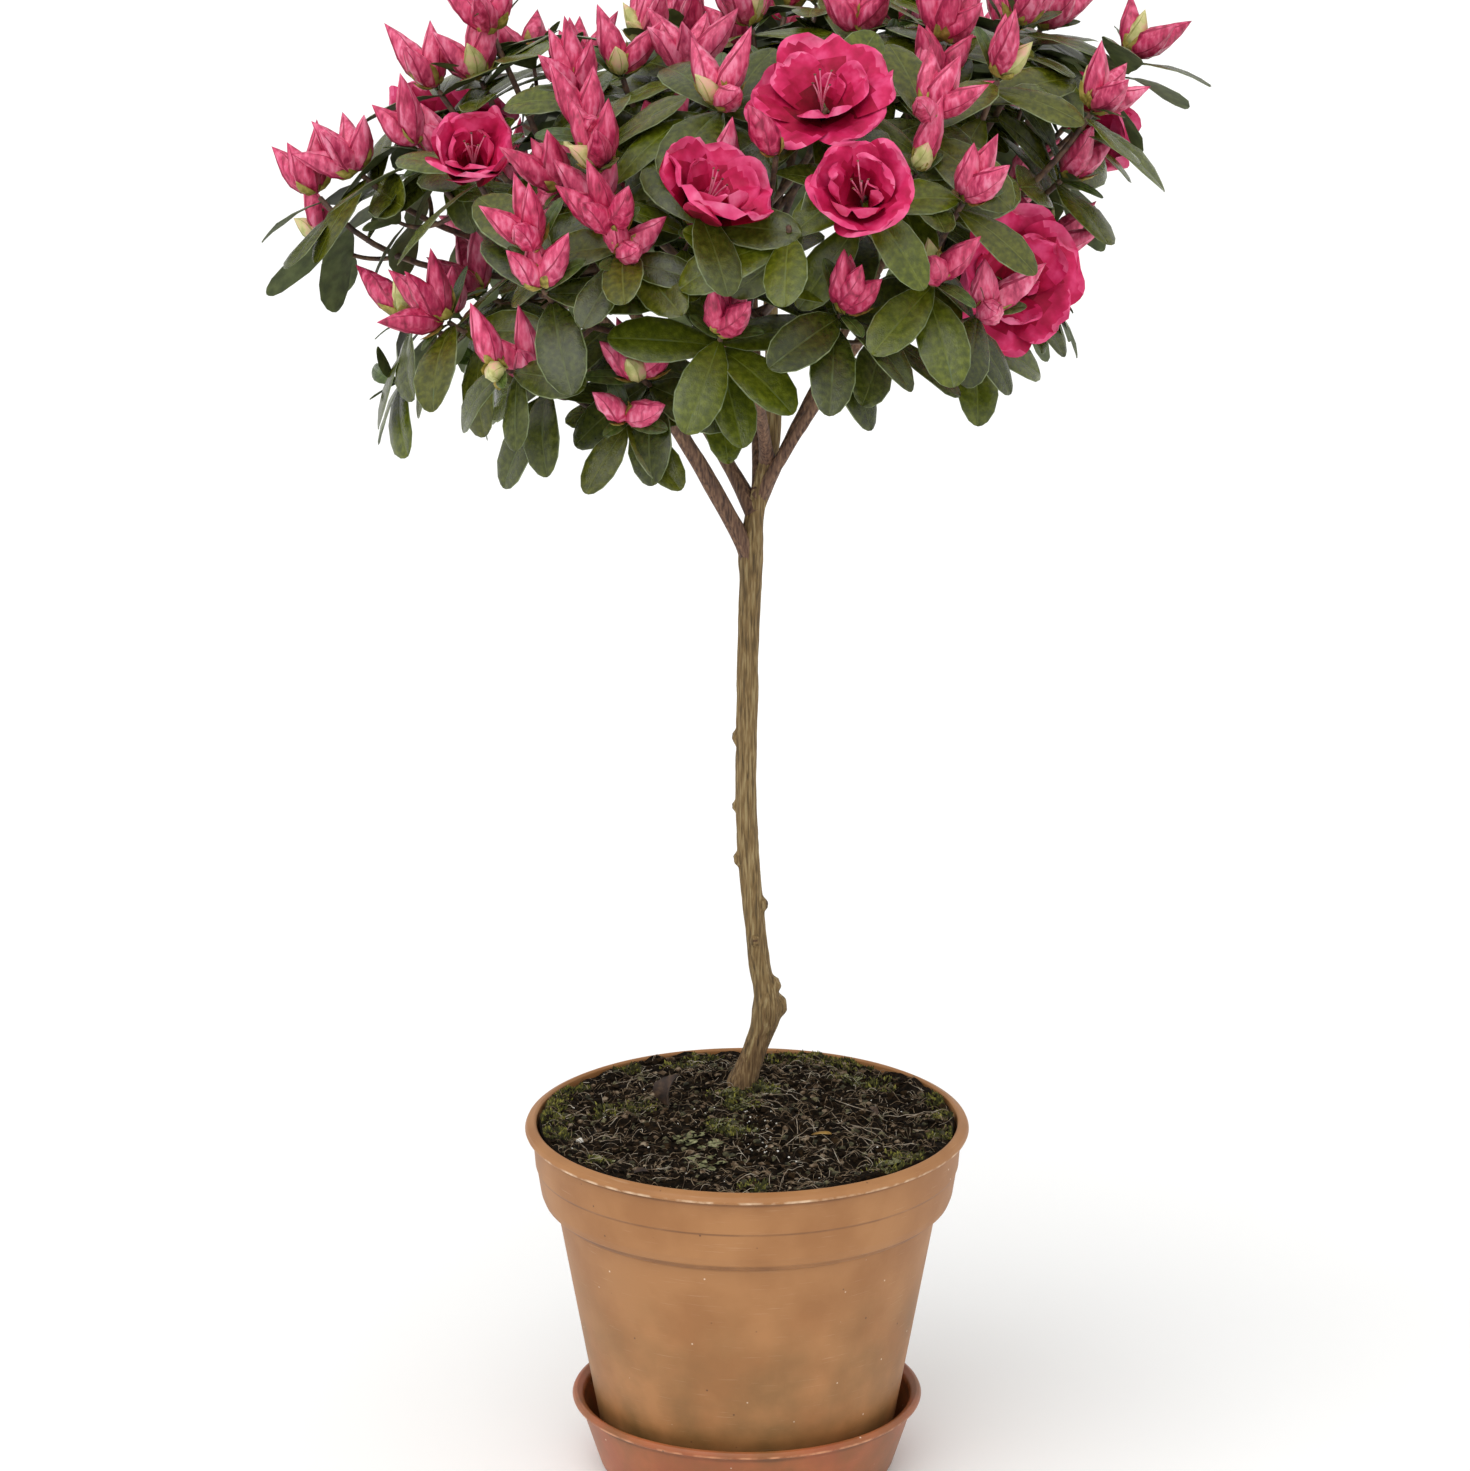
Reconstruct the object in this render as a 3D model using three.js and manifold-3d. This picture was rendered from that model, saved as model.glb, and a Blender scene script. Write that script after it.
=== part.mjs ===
// A flowering azalea trained as a small standard: one bare stem with a broad, flat-topped head of
// leaf rosettes, buds and a few open blooms, growing in a plastic pot that stands in its saucer.
// Millimetres, +Z up, -Y towards the viewer. The origin is the middle of the saucer's underside.
import * as THREE from "three";
import { mergeVertices } from "three/addons/utils/BufferGeometryUtils.js";
import Module from "manifold-3d";

const wasm = await Module();
wasm.setup();

const V = (x, y, z) => new THREE.Vector3(x, y, z);
const degrees = THREE.MathUtils.degToRad;
const SMALLEST_DETAIL = 0.01;

// Driving dimensions
const CLEARANCE = 0.3; // between two pieces that touch
const POT_RIM_RADIUS = 95;
const POT_RIM_HEIGHT = 157.3;
const POT_BODY_TOP_RADIUS = 81.7;
const POT_BASE_RADIUS = 60.5;
const POT_WALL = 1.6;
const SAUCER_RIM_RADIUS = 75.5;
const SAUCER_HEIGHT = 34;
const SAUCER_BASE_RADIUS = 63;
const SAUCER_WALL = 1.5;
const ROUND_SEGMENTS = 32;

// Where the stem stands on the potting mix: behind the middle of the pot, on a low mound
const FOOT = V(-2.5, 32, 161.5);
const MOUND_SEAT_RADIUS = 13;
const MIX_EDGE_HEIGHT = 154;

// Head of the plant: the surface that the rosettes' hearts lie on
const HEAD = V(2, 32, 560);
const HEAD_RADIUS = 156;
const HEAD_RISE = 58;
const HEAD_DROP = 64;
const HEAD_TILT = 0.12; // the head stands higher on its right
const UPPER_FULLNESS = 0.66; // below 1, the sides are steeper and the top is flatter
const LOWER_FULLNESS = 1.25;
const HEAD_LAST_ANGLE = degrees(132);
const ROSETTES = 67;
const AXIS_FOCUS_DROP = 45; // rosettes point away from a spot this far below the head's middle
const AXIS_LIFT = 0.9; // and turn up towards the light

// Leaves, buds and petals: [least, range above it] in mm, as a share of the length, or in radians off
// the rosette's axis. A four-cornered leaf is drawn wider than the real oval one, which it stands for.
const LEAVES_LEAST = 6;
const LEAF_LENGTH = [38, 10];
const LEAF_WIDTH_SHARE = [0.66, 0.12];
const LEAF_ARCH_SHARE = 0.07;
const LEAF_OFF_AXIS = [degrees(66), degrees(30)];
const LEAF_SAG = 0.1;
const LOW_LEAF_SAG = 0.45; // added at the head's underside
const BUDDING_SHARE = 0.55;
const BUDS_LEAST = 2;
const BUDS_MOST = 4;
const BUD_LENGTH = [24, 11];
const BUD_WIDTH = [10, 2];
const BUD_OFF_AXIS = [degrees(12), degrees(50)];
const BUD_LIFT = 0.3;
const PETALS = 5;
const PETAL_LENGTH = 31;
const PETAL_WIDTH = 24;
const PETAL_ARCH = 2;
const PETAL_SPREAD = degrees(52);
const LEAF_WIDEST = 0.56; // where it is widest, as a share of its length
const BUD_WIDEST = 0.42;
const PETAL_WIDEST = 0.7;

// A seeded number from 0 to 1 for item i and purpose k
function chance(i, k) {
  let h = (Math.imul(i + 1, 374761393) + Math.imul(k + 1, 668265263)) | 0;
  h = Math.imul(h ^ (h >>> 13), 1274126177);
  return ((h ^ (h >>> 16)) >>> 0) / 4294967296;
}

const between = ([least, range], i, k) => least + range * chance(i, k);

// A closed three.js geometry as a solid, and back
function solid(geometry) {
  const bare = geometry.clone();
  bare.deleteAttribute("normal");
  bare.deleteAttribute("uv");
  const merged = mergeVertices(bare, 1e-4);
  return new wasm.Manifold(
    new wasm.Mesh({
      numProp: 3,
      vertProperties: new Float32Array(merged.attributes.position.array),
      triVerts: new Uint32Array(merged.index.array),
    }),
  );
}

function geometryOf(manifold) {
  const mesh = largestBody(manifold.simplify(SMALLEST_DETAIL)).getMesh();
  const geometry = new THREE.BufferGeometry();
  geometry.setAttribute("position", new THREE.BufferAttribute(mesh.vertProperties, 3));
  geometry.setIndex(new THREE.BufferAttribute(mesh.triVerts, 1));
  const flat = geometry.toNonIndexed();
  flat.computeVertexNormals();
  return flat;
}

const largestBody = (manifold) =>
  manifold.decompose().reduce((best, body) => (body.volume() > best.volume() ? body : best));

const finish = {
  potPlastic: new THREE.MeshStandardMaterial({ color: "#b07a55", roughness: 0.6 }),
  saucerPlastic: new THREE.MeshStandardMaterial({ color: "#b8694a", roughness: 0.5 }),
  pottingMix: new THREE.MeshStandardMaterial({ color: "#2b2119", roughness: 1 }),
  bark: new THREE.MeshStandardMaterial({ color: "#84654c", roughness: 0.9 }),
  foliage: new THREE.MeshStandardMaterial({ color: "#3f5230", roughness: 0.5 }),
};

const plant = new THREE.Group();

function addPiece(name, geometry, material) {
  const mesh = new THREE.Mesh(geometry, material);
  mesh.name = name;
  plant.add(mesh);
  return mesh;
}

// Pot and saucer

// A profile of [radius, height] pairs turned about the Z axis
function turned(profile, segments = ROUND_SEGMENTS) {
  const points = profile.map(([r, h]) => new THREE.Vector2(r, h));
  return new THREE.LatheGeometry(points, segments).rotateX(Math.PI / 2);
}

const potFloor = SAUCER_WALL + CLEARANCE;
const bandTop = POT_RIM_HEIGHT - 4.6;
const bandStep = POT_RIM_HEIGHT - 19.8;
const bandFoot = POT_RIM_HEIGHT - 32.3;
const bodyTop = POT_RIM_HEIGHT - 36.8;
const inside = (radius) => radius - POT_WALL;

const potOutside = [
  [0, potFloor],
  [POT_BASE_RADIUS - 2, potFloor],
  [POT_BASE_RADIUS, potFloor + 2],
  [POT_BODY_TOP_RADIUS, bodyTop],
  [POT_RIM_RADIUS - 8.2, bodyTop + 2],
  [POT_RIM_RADIUS - 6.8, bandFoot + 1],
  [POT_RIM_RADIUS - 5, bandStep],
  [POT_RIM_RADIUS - 4.4, bandStep + 0.9],
  [POT_RIM_RADIUS - 3.2, bandTop],
  [POT_RIM_RADIUS - 0.4, bandTop + 0.2],
  [POT_RIM_RADIUS, bandTop + 1.2],
  [POT_RIM_RADIUS - 0.8, POT_RIM_HEIGHT - 1.5],
  [POT_RIM_RADIUS - 3.8, POT_RIM_HEIGHT],
];
const potInside = [
  [POT_RIM_RADIUS - 4.9, POT_RIM_HEIGHT - 0.7],
  [inside(POT_RIM_RADIUS - 4.4), bandStep + 0.9],
  [inside(POT_RIM_RADIUS - 6.8), bandFoot],
  [inside(POT_RIM_RADIUS - 10), bodyTop - 1],
  [inside(POT_BODY_TOP_RADIUS), bodyTop - 2],
  [inside(POT_BASE_RADIUS), potFloor + 2 + POT_WALL],
  [inside(POT_BASE_RADIUS) - 1.6, potFloor + POT_WALL],
  [0, potFloor + POT_WALL],
];
addPiece("pot", turned([...potOutside, ...potInside]), finish.potPlastic);

const saucerWallTop = SAUCER_RIM_RADIUS - 3.2;
const saucerProfile = [
  [0, 0],
  [SAUCER_BASE_RADIUS - 2.5, 0],
  [SAUCER_BASE_RADIUS - 0.6, 1],
  [SAUCER_BASE_RADIUS + 0.6, 3.2],
  [saucerWallTop, SAUCER_HEIGHT - 4.2],
  [SAUCER_RIM_RADIUS - 0.4, SAUCER_HEIGHT - 3],
  [SAUCER_RIM_RADIUS, SAUCER_HEIGHT - 1.8],
  [SAUCER_RIM_RADIUS - 0.7, SAUCER_HEIGHT - 0.4],
  [SAUCER_RIM_RADIUS - 2, SAUCER_HEIGHT],
  [saucerWallTop - SAUCER_WALL, SAUCER_HEIGHT - 1.6],
  [SAUCER_BASE_RADIUS + 0.6 - SAUCER_WALL, 3.4],
  [SAUCER_BASE_RADIUS - 2.5, SAUCER_WALL],
  [0, SAUCER_WALL],
];
addPiece("saucer", turned(saucerProfile), finish.saucerPlastic);

// The potting mix fills the pot. The rings of its top close in on the stem's foot, which stands on
// the level seat in the middle of the mound.
function pottingMix() {
  const gap = (radius) => inside(radius) - CLEARANCE;
  const edge = inside(POT_RIM_RADIUS - 4.4) - CLEARANCE;
  const rings = [1, 0.84, 0.64, 0.42];
  const profile = [
    [0, potFloor + POT_WALL + CLEARANCE],
    [gap(POT_BASE_RADIUS) - 1.6, potFloor + POT_WALL + CLEARANCE],
    [gap(POT_BASE_RADIUS), potFloor + 2 + POT_WALL + CLEARANCE],
    [gap(POT_BODY_TOP_RADIUS), bodyTop - 2],
    [gap(POT_RIM_RADIUS - 10), bodyTop - 1 + CLEARANCE],
    [gap(POT_RIM_RADIUS - 6.8), bandFoot + CLEARANCE],
    [edge, bandStep + 0.9],
    ...rings.map((share) => [edge * share, MIX_EDGE_HEIGHT]),
    [MOUND_SEAT_RADIUS, MIX_EDGE_HEIGHT],
    [0, MIX_EDGE_HEIGHT],
  ];
  const geometry = turned(profile);
  const place = geometry.attributes.position;
  for (let i = 0; i < place.count; i++) {
    if (place.getZ(i) < MIX_EDGE_HEIGHT - 0.01) continue;
    const x = place.getX(i);
    const y = place.getY(i);
    const share = Math.hypot(x, y) / edge;
    const near = Math.min(1, (1 - share) / (1 - MOUND_SEAT_RADIUS / edge));
    const rise = near * near * (3 - 2 * near);
    const height = MIX_EDGE_HEIGHT + rise * (FOOT.z - CLEARANCE - MIX_EDGE_HEIGHT);
    place.setXYZ(i, x + FOOT.x * near, y + FOOT.y * near, height);
  }
  geometry.computeVertexNormals();
  return geometry;
}
addPiece("potting_mix", pottingMix(), finish.pottingMix);

// Stem and boughs

// The unit vector at right angles to a direction, from the world axis that lies least along it
function sideOf(direction) {
  const [x, y, z] = direction.toArray().map(Math.abs);
  const reference = x <= y && x <= z ? V(1, 0, 0) : y <= z ? V(0, 1, 0) : V(0, 0, 1);
  return reference.cross(direction).normalize();
}

// A cylinder bent along a curve. radius(t) is its radius at curve parameter t.
function limb(curve, radius, sides, steps) {
  const geometry = new THREE.CylinderGeometry(1, 1, 1, sides, steps);
  const place = geometry.attributes.position;
  const side = sideOf(curve.getPoint(1).sub(curve.getPoint(0)).normalize());
  for (let i = 0; i < place.count; i++) {
    const t = place.getY(i) + 0.5;
    const along = curve.getTangent(t);
    const across = side.clone().addScaledVector(along, -side.dot(along)).normalize();
    const out = across.clone().cross(along);
    const r = radius(t);
    const point = curve
      .getPoint(t)
      .addScaledVector(across, place.getX(i) * r)
      .addScaledVector(out, place.getZ(i) * r);
    place.setXYZ(i, ...point.toArray());
  }
  return geometry;
}

// The stem leans right from its foot to the old graft, comes back, and runs nearly straight to the
// fork. [x, height] of its middle line.
const stemLine = [
  [FOOT.x, FOOT.z],
  [3.5, 178],
  [8.6, 196],
  [5, 219],
  [0.8, 262],
  [-0.4, 300],
  [1.2, 380],
  [2.6, 412],
  [7.9, 437],
  [11, 456],
  [9, 524],
];
const stemCurve = new THREE.CatmullRomCurve3(
  stemLine.map(([x, z]) => V(x, FOOT.y, z)),
  false,
  "catmullrom",
  0.5,
);
const GRAFT_HEIGHT = 195;
const FORK_HEIGHT = 400;
const STEM_RADIUS = 4.5;
const LEADER_TIP_RADIUS = 2.7;
const bell = (z, middle, spread) => Math.exp(-(((z - middle) / spread) ** 2));

function stemRadius(z) {
  const flare = 2.1 * Math.exp(-(z - FOOT.z) / 12);
  const swellings = 1.5 * bell(z, GRAFT_HEIGHT, 9) + 0.7 * bell(z, FORK_HEIGHT, 14);
  const top = stemLine[stemLine.length - 1][1];
  const thinning = THREE.MathUtils.clamp((z - FORK_HEIGHT) / (top - FORK_HEIGHT), 0, 1);
  return THREE.MathUtils.lerp(STEM_RADIUS, LEADER_TIP_RADIUS, Math.sqrt(thinning)) + flare + swellings;
}

// The curve parameter where the stem reaches a height
function stemAt(height) {
  let low = 0;
  let high = 1;
  for (let i = 0; i < 40; i++) {
    const middle = (low + high) / 2;
    if (stemCurve.getPoint(middle).z < height) low = middle;
    else high = middle;
  }
  return low;
}

// Stubs and scars of shoots that were rubbed off: height, direction round the stem, size
const STEM_KNOTS = [
  [318, 185, 2.2],
  [287, 170, 1.7],
  [264, 190, 2.3],
  [243, -15, 2.3],
  [228, -95, 1.8],
  [206, 5, 2.6],
  [197, 12, 3.2],
];

function stem(extra = 0) {
  const shaft = limb(stemCurve, (t) => stemRadius(stemCurve.getPoint(t).z) + extra, 8, 24);
  // The foot is a flat cut
  const place = shaft.attributes.position;
  for (let i = 0; i < place.count; i++) {
    if (place.getZ(i) < FOOT.z + 2.5) place.setZ(i, FOOT.z);
  }
  const knots = STEM_KNOTS.map(([height, direction, size]) => {
    const out = V(Math.cos(degrees(direction)), Math.sin(degrees(direction)), 0);
    const middle = stemCurve.getPoint(stemAt(height));
    const knot = new THREE.OctahedronGeometry(size + extra, 0).scale(1, 1, 1.3);
    middle.addScaledVector(out, stemRadius(height) - 0.25 * size);
    return solid(knot.translate(...middle.toArray()));
  });
  return wasm.Manifold.union([solid(shaft), ...knots]);
}
addPiece("trunk", geometryOf(stem()), finish.bark);

// Boughs and the masses that they carry: name, direction in degrees (0 right, 90 back), height
// where the bough leaves the stem, and the bough's radius at the stem and at its tip
const BOUGHS = [
  ["front_left", 205, 398, 3.7, 2.6],
  ["back_left", 148, 417, 3.2, 2.4],
  ["back", 90, 426, 2.6, 2],
  ["back_right", 32, 416, 2.3, 1.9],
  ["front_right", 333, 424, 2.5, 2],
  ["front", 268, 440, 2.6, 2],
];
const BOUGH_REACH = 62;
const BOUGH_TIP_HEIGHT = 506;
const STEM_REACH = 96; // the woody stem inside a mass ends this far out
const STEM_TIP_HEIGHT = 531;

const outward = (angle) => V(Math.cos(degrees(angle)), Math.sin(degrees(angle)), 0);

// A point of the head, so far out from its middle in one direction
function headPoint(angle, reach, height) {
  const point = outward(angle).multiplyScalar(reach);
  return V(HEAD.x + point.x, HEAD.y + point.y, height + HEAD_TILT * point.x);
}

function boughCurve([, angle, height]) {
  const start = stemCurve.getPoint(stemAt(height));
  const end = headPoint(angle, BOUGH_REACH, BOUGH_TIP_HEIGHT);
  const knee = start.clone().lerp(end, 0.45);
  knee.z += 0.06 * (end.z - start.z);
  return new THREE.QuadraticBezierCurve3(start, knee, end);
}

const boughRadius = ([, , , base, tip]) => (t) => THREE.MathUtils.lerp(base, tip, t);
const boughSolid = (row, extra = 0) =>
  solid(limb(boughCurve(row), (t) => boughRadius(row)(t) + extra, 6, 5));

const stemGrown = stem(CLEARANCE);
const limbsGrown = [stemGrown];
for (const row of BOUGHS) {
  const clear = boughSolid(row).subtract(wasm.Manifold.union(limbsGrown));
  addPiece("bough_" + row[0], geometryOf(clear), finish.bark);
  limbsGrown.push(boughSolid(row, CLEARANCE));
}

// Masses: each holds the part of the head that is nearest to its anchor
const ANCHOR_REACH = 118;
const MASSES = [
  { name: "top", anchor: V(HEAD.x, HEAD.y, HEAD.z + 60), angle: 0 },
  ...BOUGHS.map((row) => ({
    name: row[0],
    angle: row[1],
    row,
    anchor: headPoint(row[1], ANCHOR_REACH, HEAD.z),
  })),
];

// How far a point lies inside mass m's space: the distance to the nearest wall
function depthIn(point, m) {
  const own = MASSES[m].anchor;
  let least = Infinity;
  MASSES.forEach(({ anchor }, other) => {
    if (other === m) return;
    const apart = anchor.clone().sub(own);
    const middle = own.clone().add(anchor).multiplyScalar(0.5);
    least = Math.min(least, -point.clone().sub(middle).dot(apart) / apart.length());
  });
  return least;
}

// Rosettes: the rule that places every whorl of leaves

// Point of the head's outline at polar angle a from the top: [radius, height above the middle]
function outline(a) {
  const upper = a < Math.PI / 2;
  const radius = HEAD_RADIUS * Math.sin(a) ** (upper ? UPPER_FULLNESS : LOWER_FULLNESS);
  const height = Math.cos(a) * (upper ? HEAD_RISE : HEAD_DROP);
  return [radius, height];
}

// Polar angle below which lies the share u of the head's surface
const OUTLINE_STEPS = 120;
const areaBelow = [0];
for (let i = 1; i <= OUTLINE_STEPS; i++) {
  const [r0, h0] = outline((HEAD_LAST_ANGLE * (i - 1)) / OUTLINE_STEPS);
  const [r1, h1] = outline((HEAD_LAST_ANGLE * i) / OUTLINE_STEPS);
  areaBelow.push(areaBelow[i - 1] + (r0 + r1) * Math.hypot(r1 - r0, h1 - h0));
}
function angleAt(u) {
  const wanted = u * areaBelow[OUTLINE_STEPS];
  const i = Math.max(1, areaBelow.findIndex((area) => area >= wanted));
  const share = (wanted - areaBelow[i - 1]) / (areaBelow[i] - areaBelow[i - 1]);
  return (HEAD_LAST_ANGLE * (i - 1 + share)) / OUTLINE_STEPS;
}

const GOLDEN_ANGLE = Math.PI * (3 - Math.sqrt(5));
const FIRST_TURN = degrees(94);
const HEART_MARGIN = 5;

// What is seen from the front: x, y and z of a rosette's heart, and its buds, or 0 for an open bloom.
// Each takes over the nearest rosette that is still free.
const SEEN_ROSETTES = [
  [-165, 45, 559, 5], [-113, -33, 580, 0], [-111, 62, 595, 4], [-129, 62, 591, 2],
  [-106, 61, 615, 3], [-67, -18, 604, 3], [-63, -71, 599, 2], [-51, 0, 609, 2],
  [-57, -94, 591, 3], [-40, 41, 612, 4], [-11, -73, 612, 3], [2, 58, 618, 3],
  [31, -82, 613, 0], [11, -109, 599, 2], [72, -83, 609, 5], [80, 2, 622, 4],
  [101, -31, 614, 2], [122, 61, 617, 4], [140, -14, 597, 4], [159, 54, 606, 5],
  [-52, -116, 570, 5], [-83, -110, 563, 3], [-81, -111, 546, 2], [16, -127, 575, 4],
  [-19, -122, 581, 0], [46, -118, 585, 0], [74, -106, 548, 2], [106, -46, 535, 0],
  [-122, -36, 515, 5], [-84, -90, 503, 2], [-42, -93, 505, 3], [-11, -115, 528, 3],
  [37, -114, 537, 5], [-136, 30, 573, 2], [84, -104, 579, 2], [-184, 48, 548, 2],
  [129, 2, 566, 1], [112, 62, 546, 1], [-139, 5, 507, 1],
];
// Blooms that are not seen from the front: the free rosette nearest to each place
const HIDDEN_BLOOMS = [V(-128, 97, 585), V(3, 172, 572), V(140, 110, 570)];

function spiralHeart(i) {
  const polar = angleAt((i + 0.5) / ROSETTES) + 0.05 * (chance(i, 0) - 0.5);
  const turn = i * GOLDEN_ANGLE + FIRST_TURN + 0.16 * (chance(i, 1) - 0.5);
  const [radius, height] = outline(polar);
  const reach = radius * (0.95 + 0.1 * chance(i, 2));
  return V(
    HEAD.x + reach * Math.cos(turn),
    HEAD.y + reach * Math.sin(turn),
    HEAD.z + height + HEAD_TILT * reach * Math.cos(turn) + 9 * (chance(i, 3) - 0.5),
  );
}

const roses = Array.from({ length: ROSETTES }, (_, i) => ({ i, heart: spiralHeart(i) }));

// The rosette nearest to a place that isn't yet one of those seen from the front
function nearestFree(place) {
  const free = roses.filter(({ buds }) => buds === undefined);
  const distance = ({ heart }) => heart.distanceTo(place);
  return free.reduce((best, rose) => (distance(rose) < distance(best) ? rose : best));
}

for (const [x, y, z, buds] of SEEN_ROSETTES) {
  Object.assign(nearestFree(V(x, y, z)), { heart: V(x, y, z), buds, blooming: buds === 0 });
}
for (const place of HIDDEN_BLOOMS) nearestFree(place).blooming = true;

// Each rosette belongs to the mass with the nearest anchor, and stays clear of its walls
for (const rose of roses) {
  const { i, heart } = rose;
  rose.mass = 0;
  MASSES.forEach(({ anchor }, m) => {
    if (heart.distanceTo(anchor) < heart.distanceTo(MASSES[rose.mass].anchor)) rose.mass = m;
  });
  for (let tries = 0; tries < 8 && depthIn(heart, rose.mass) < HEART_MARGIN; tries++) {
    heart.lerp(MASSES[rose.mass].anchor, 0.06);
  }
  const focus = V(HEAD.x, HEAD.y, HEAD.z - AXIS_FOCUS_DROP);
  const axis = heart.clone().sub(focus).normalize();
  axis.z += AXIS_LIFT;
  axis.normalize();
  axis.x += 0.3 * (chance(i, 4) - 0.5);
  axis.y += 0.3 * (chance(i, 5) - 0.5);
  axis.z += 0.2 * (chance(i, 6) - 0.5);
  rose.axis = axis.normalize();
}

// The direction at angle off from the rosette's axis and turned about it, then pulled by its weight
function spray({ axis }, off, about, sag) {
  const first = axis.clone().cross(V(1, 0, 0)).normalize();
  const second = axis.clone().cross(first);
  const way = axis
    .clone()
    .multiplyScalar(Math.cos(off))
    .addScaledVector(first, Math.sin(off) * Math.cos(about))
    .addScaledVector(second, Math.sin(off) * Math.sin(about));
  way.z -= sag;
  return way.normalize();
}

// Leaves leave their twig one behind the other
const FIRST_LEAF = 2.5;
const LEAF_STEP = 2.4;
const LEAF_ROOT_SUNK = 0.6;

const upperSide = (axis, way) => axis.clone().addScaledVector(way, -axis.dot(way)).normalize();

function leavesOf(rose, twig) {
  const { i, heart, axis } = rose;
  const low = THREE.MathUtils.clamp((HEAD.z - heart.z) / HEAD_DROP, 0, 1);
  const count = LEAVES_LEAST + Math.floor(2 * chance(i, 10));
  const twigLength = twig.getLength();
  return Array.from({ length: count }, (_, j) => {
    const k = 20 + 6 * j;
    const about = (2 * Math.PI * (j + 0.35 * chance(i, k))) / count + 6 * chance(i, 11);
    const way = spray(rose, between(LEAF_OFF_AXIS, i, k + 1), about, LEAF_SAG + LOW_LEAF_SAG * low);
    const length = between(LEAF_LENGTH, i, k + 2);
    const behind = FIRST_LEAF + LEAF_STEP * ((j * 3) % count);
    const root = twig.getPoint(1 - behind / twigLength).addScaledVector(way, -LEAF_ROOT_SUNK);
    const width = length * between(LEAF_WIDTH_SHARE, i, k + 4);
    const arch = LEAF_ARCH_SHARE * length;
    return { root, way, length, width, widest: LEAF_WIDEST, up: upperSide(axis, way), arch };
  });
}

const BUD_ROOT_SUNK = 1.6;
function budsOf(rose) {
  const { i, heart, axis } = rose;
  if (rose.blooming) return [];
  const grown = chance(i, 12) > BUDDING_SHARE ? 0 : BUDS_LEAST + Math.floor(2 * chance(i, 13));
  const count = Math.min(rose.buds ?? grown, BUDS_MOST);
  return Array.from({ length: count }, (_, j) => {
    const k = 70 + 4 * j;
    const about = (2 * Math.PI * (j + 0.4 * chance(i, k))) / count + 6 * chance(i, 14);
    const way = spray(rose, between(BUD_OFF_AXIS, i, k + 1), about, -BUD_LIFT);
    const length = between(BUD_LENGTH, i, k + 2);
    const root = heart.clone().addScaledVector(axis, -BUD_ROOT_SUNK);
    return { root, way, length, width: between(BUD_WIDTH, i, k + 3), widest: BUD_WIDEST, up: sideOf(way) };
  });
}

function petalsOf(rose) {
  const { heart, axis } = rose;
  if (!rose.blooming) return [];
  return Array.from({ length: PETALS }, (_, j) => {
    const way = spray(rose, PETAL_SPREAD, (2 * Math.PI * j) / PETALS, 0);
    const root = heart.clone().addScaledVector(axis, -BUD_ROOT_SUNK);
    const size = { length: PETAL_LENGTH, width: PETAL_WIDTH, widest: PETAL_WIDEST, arch: PETAL_ARCH };
    return { root, way, up: upperSide(axis, way), ...size };
  });
}

// Each corner of a geometry moved to root + along * way + across * side + lift * up
function placed(geometry, { root, way, up }, corner) {
  const place = geometry.attributes.position;
  const side = up.clone().cross(way);
  for (let i = 0; i < place.count; i++) {
    const signs = [place.getX(i), place.getY(i), place.getZ(i)].map(Math.sign);
    const [along, across, lift] = corner(...signs);
    const point = root.clone().addScaledVector(way, along).addScaledVector(side, across);
    place.setXYZ(i, ...point.addScaledVector(up, lift).toArray());
  }
  return geometry;
}

// A leaf or petal: a tetrahedron drawn out between its root, its tip and its two edges, which lie
// above the line from root to tip so that the blade is arched and keeled
const leafBlade = (shape, scale) =>
  placed(new THREE.TetrahedronGeometry(1), shape, (x, y, z) =>
    z > 0
      ? [x > 0 ? shape.length * scale : 0, 0, 0]
      : [shape.widest * shape.length * scale, (x * shape.width * scale) / 2, shape.arch * scale],
  );

// A bud: an octahedron drawn out along its axis
const budSpindle = (shape, scale) =>
  placed(new THREE.OctahedronGeometry(1), shape, (x, y, z) => [
    [0, shape.widest, 1][z + 1] * shape.length * scale,
    (x * shape.width) / 2,
    (y * shape.width) / 2,
  ]);

function pointsOf(geometry) {
  const place = geometry.attributes.position;
  return Array.from({ length: place.count }, (_, i) => new THREE.Vector3().fromBufferAttribute(place, i));
}

// Middle lines of the stem and boughs as [point, radius] samples, to keep blades off them
const limbSamples = [];
const LIMB_SAMPLES = 24;
function sampleLimb(curve, radius) {
  for (let i = 0; i <= LIMB_SAMPLES; i++) {
    const t = i / LIMB_SAMPLES;
    limbSamples.push([curve.getPoint(t), radius(t)]);
  }
}
sampleLimb(stemCurve, (t) => stemRadius(stemCurve.getPoint(t).z));
BOUGHS.forEach((row) => sampleLimb(boughCurve(row), boughRadius(row)));

function touchesLimb(points) {
  const root = points[0];
  const samples = limbSamples.filter(([place]) => place.distanceTo(root) < 90);
  return samples.some(([place, radius]) => points.some((p) => p.distanceTo(place) < radius + 3));
}

// Whether an edge of one blade goes through a face of another. A blade's points are its faces' corners.
function pierces(points, others) {
  const ray = new THREE.Ray();
  const hit = V(0, 0, 0);
  return points.some((from, i) => {
    const to = points[i % 3 === 2 ? i - 2 : i + 1];
    ray.set(from, to.clone().sub(from).normalize());
    for (let face = 0; face < others.length; face += 3) {
      const found = ray.intersectTriangle(others[face], others[face + 1], others[face + 2], false, hit);
      if (found && hit.distanceTo(from) < to.distanceTo(from)) return true;
    }
    return false;
  });
}

const WALL_GAP = 0.3;
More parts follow.
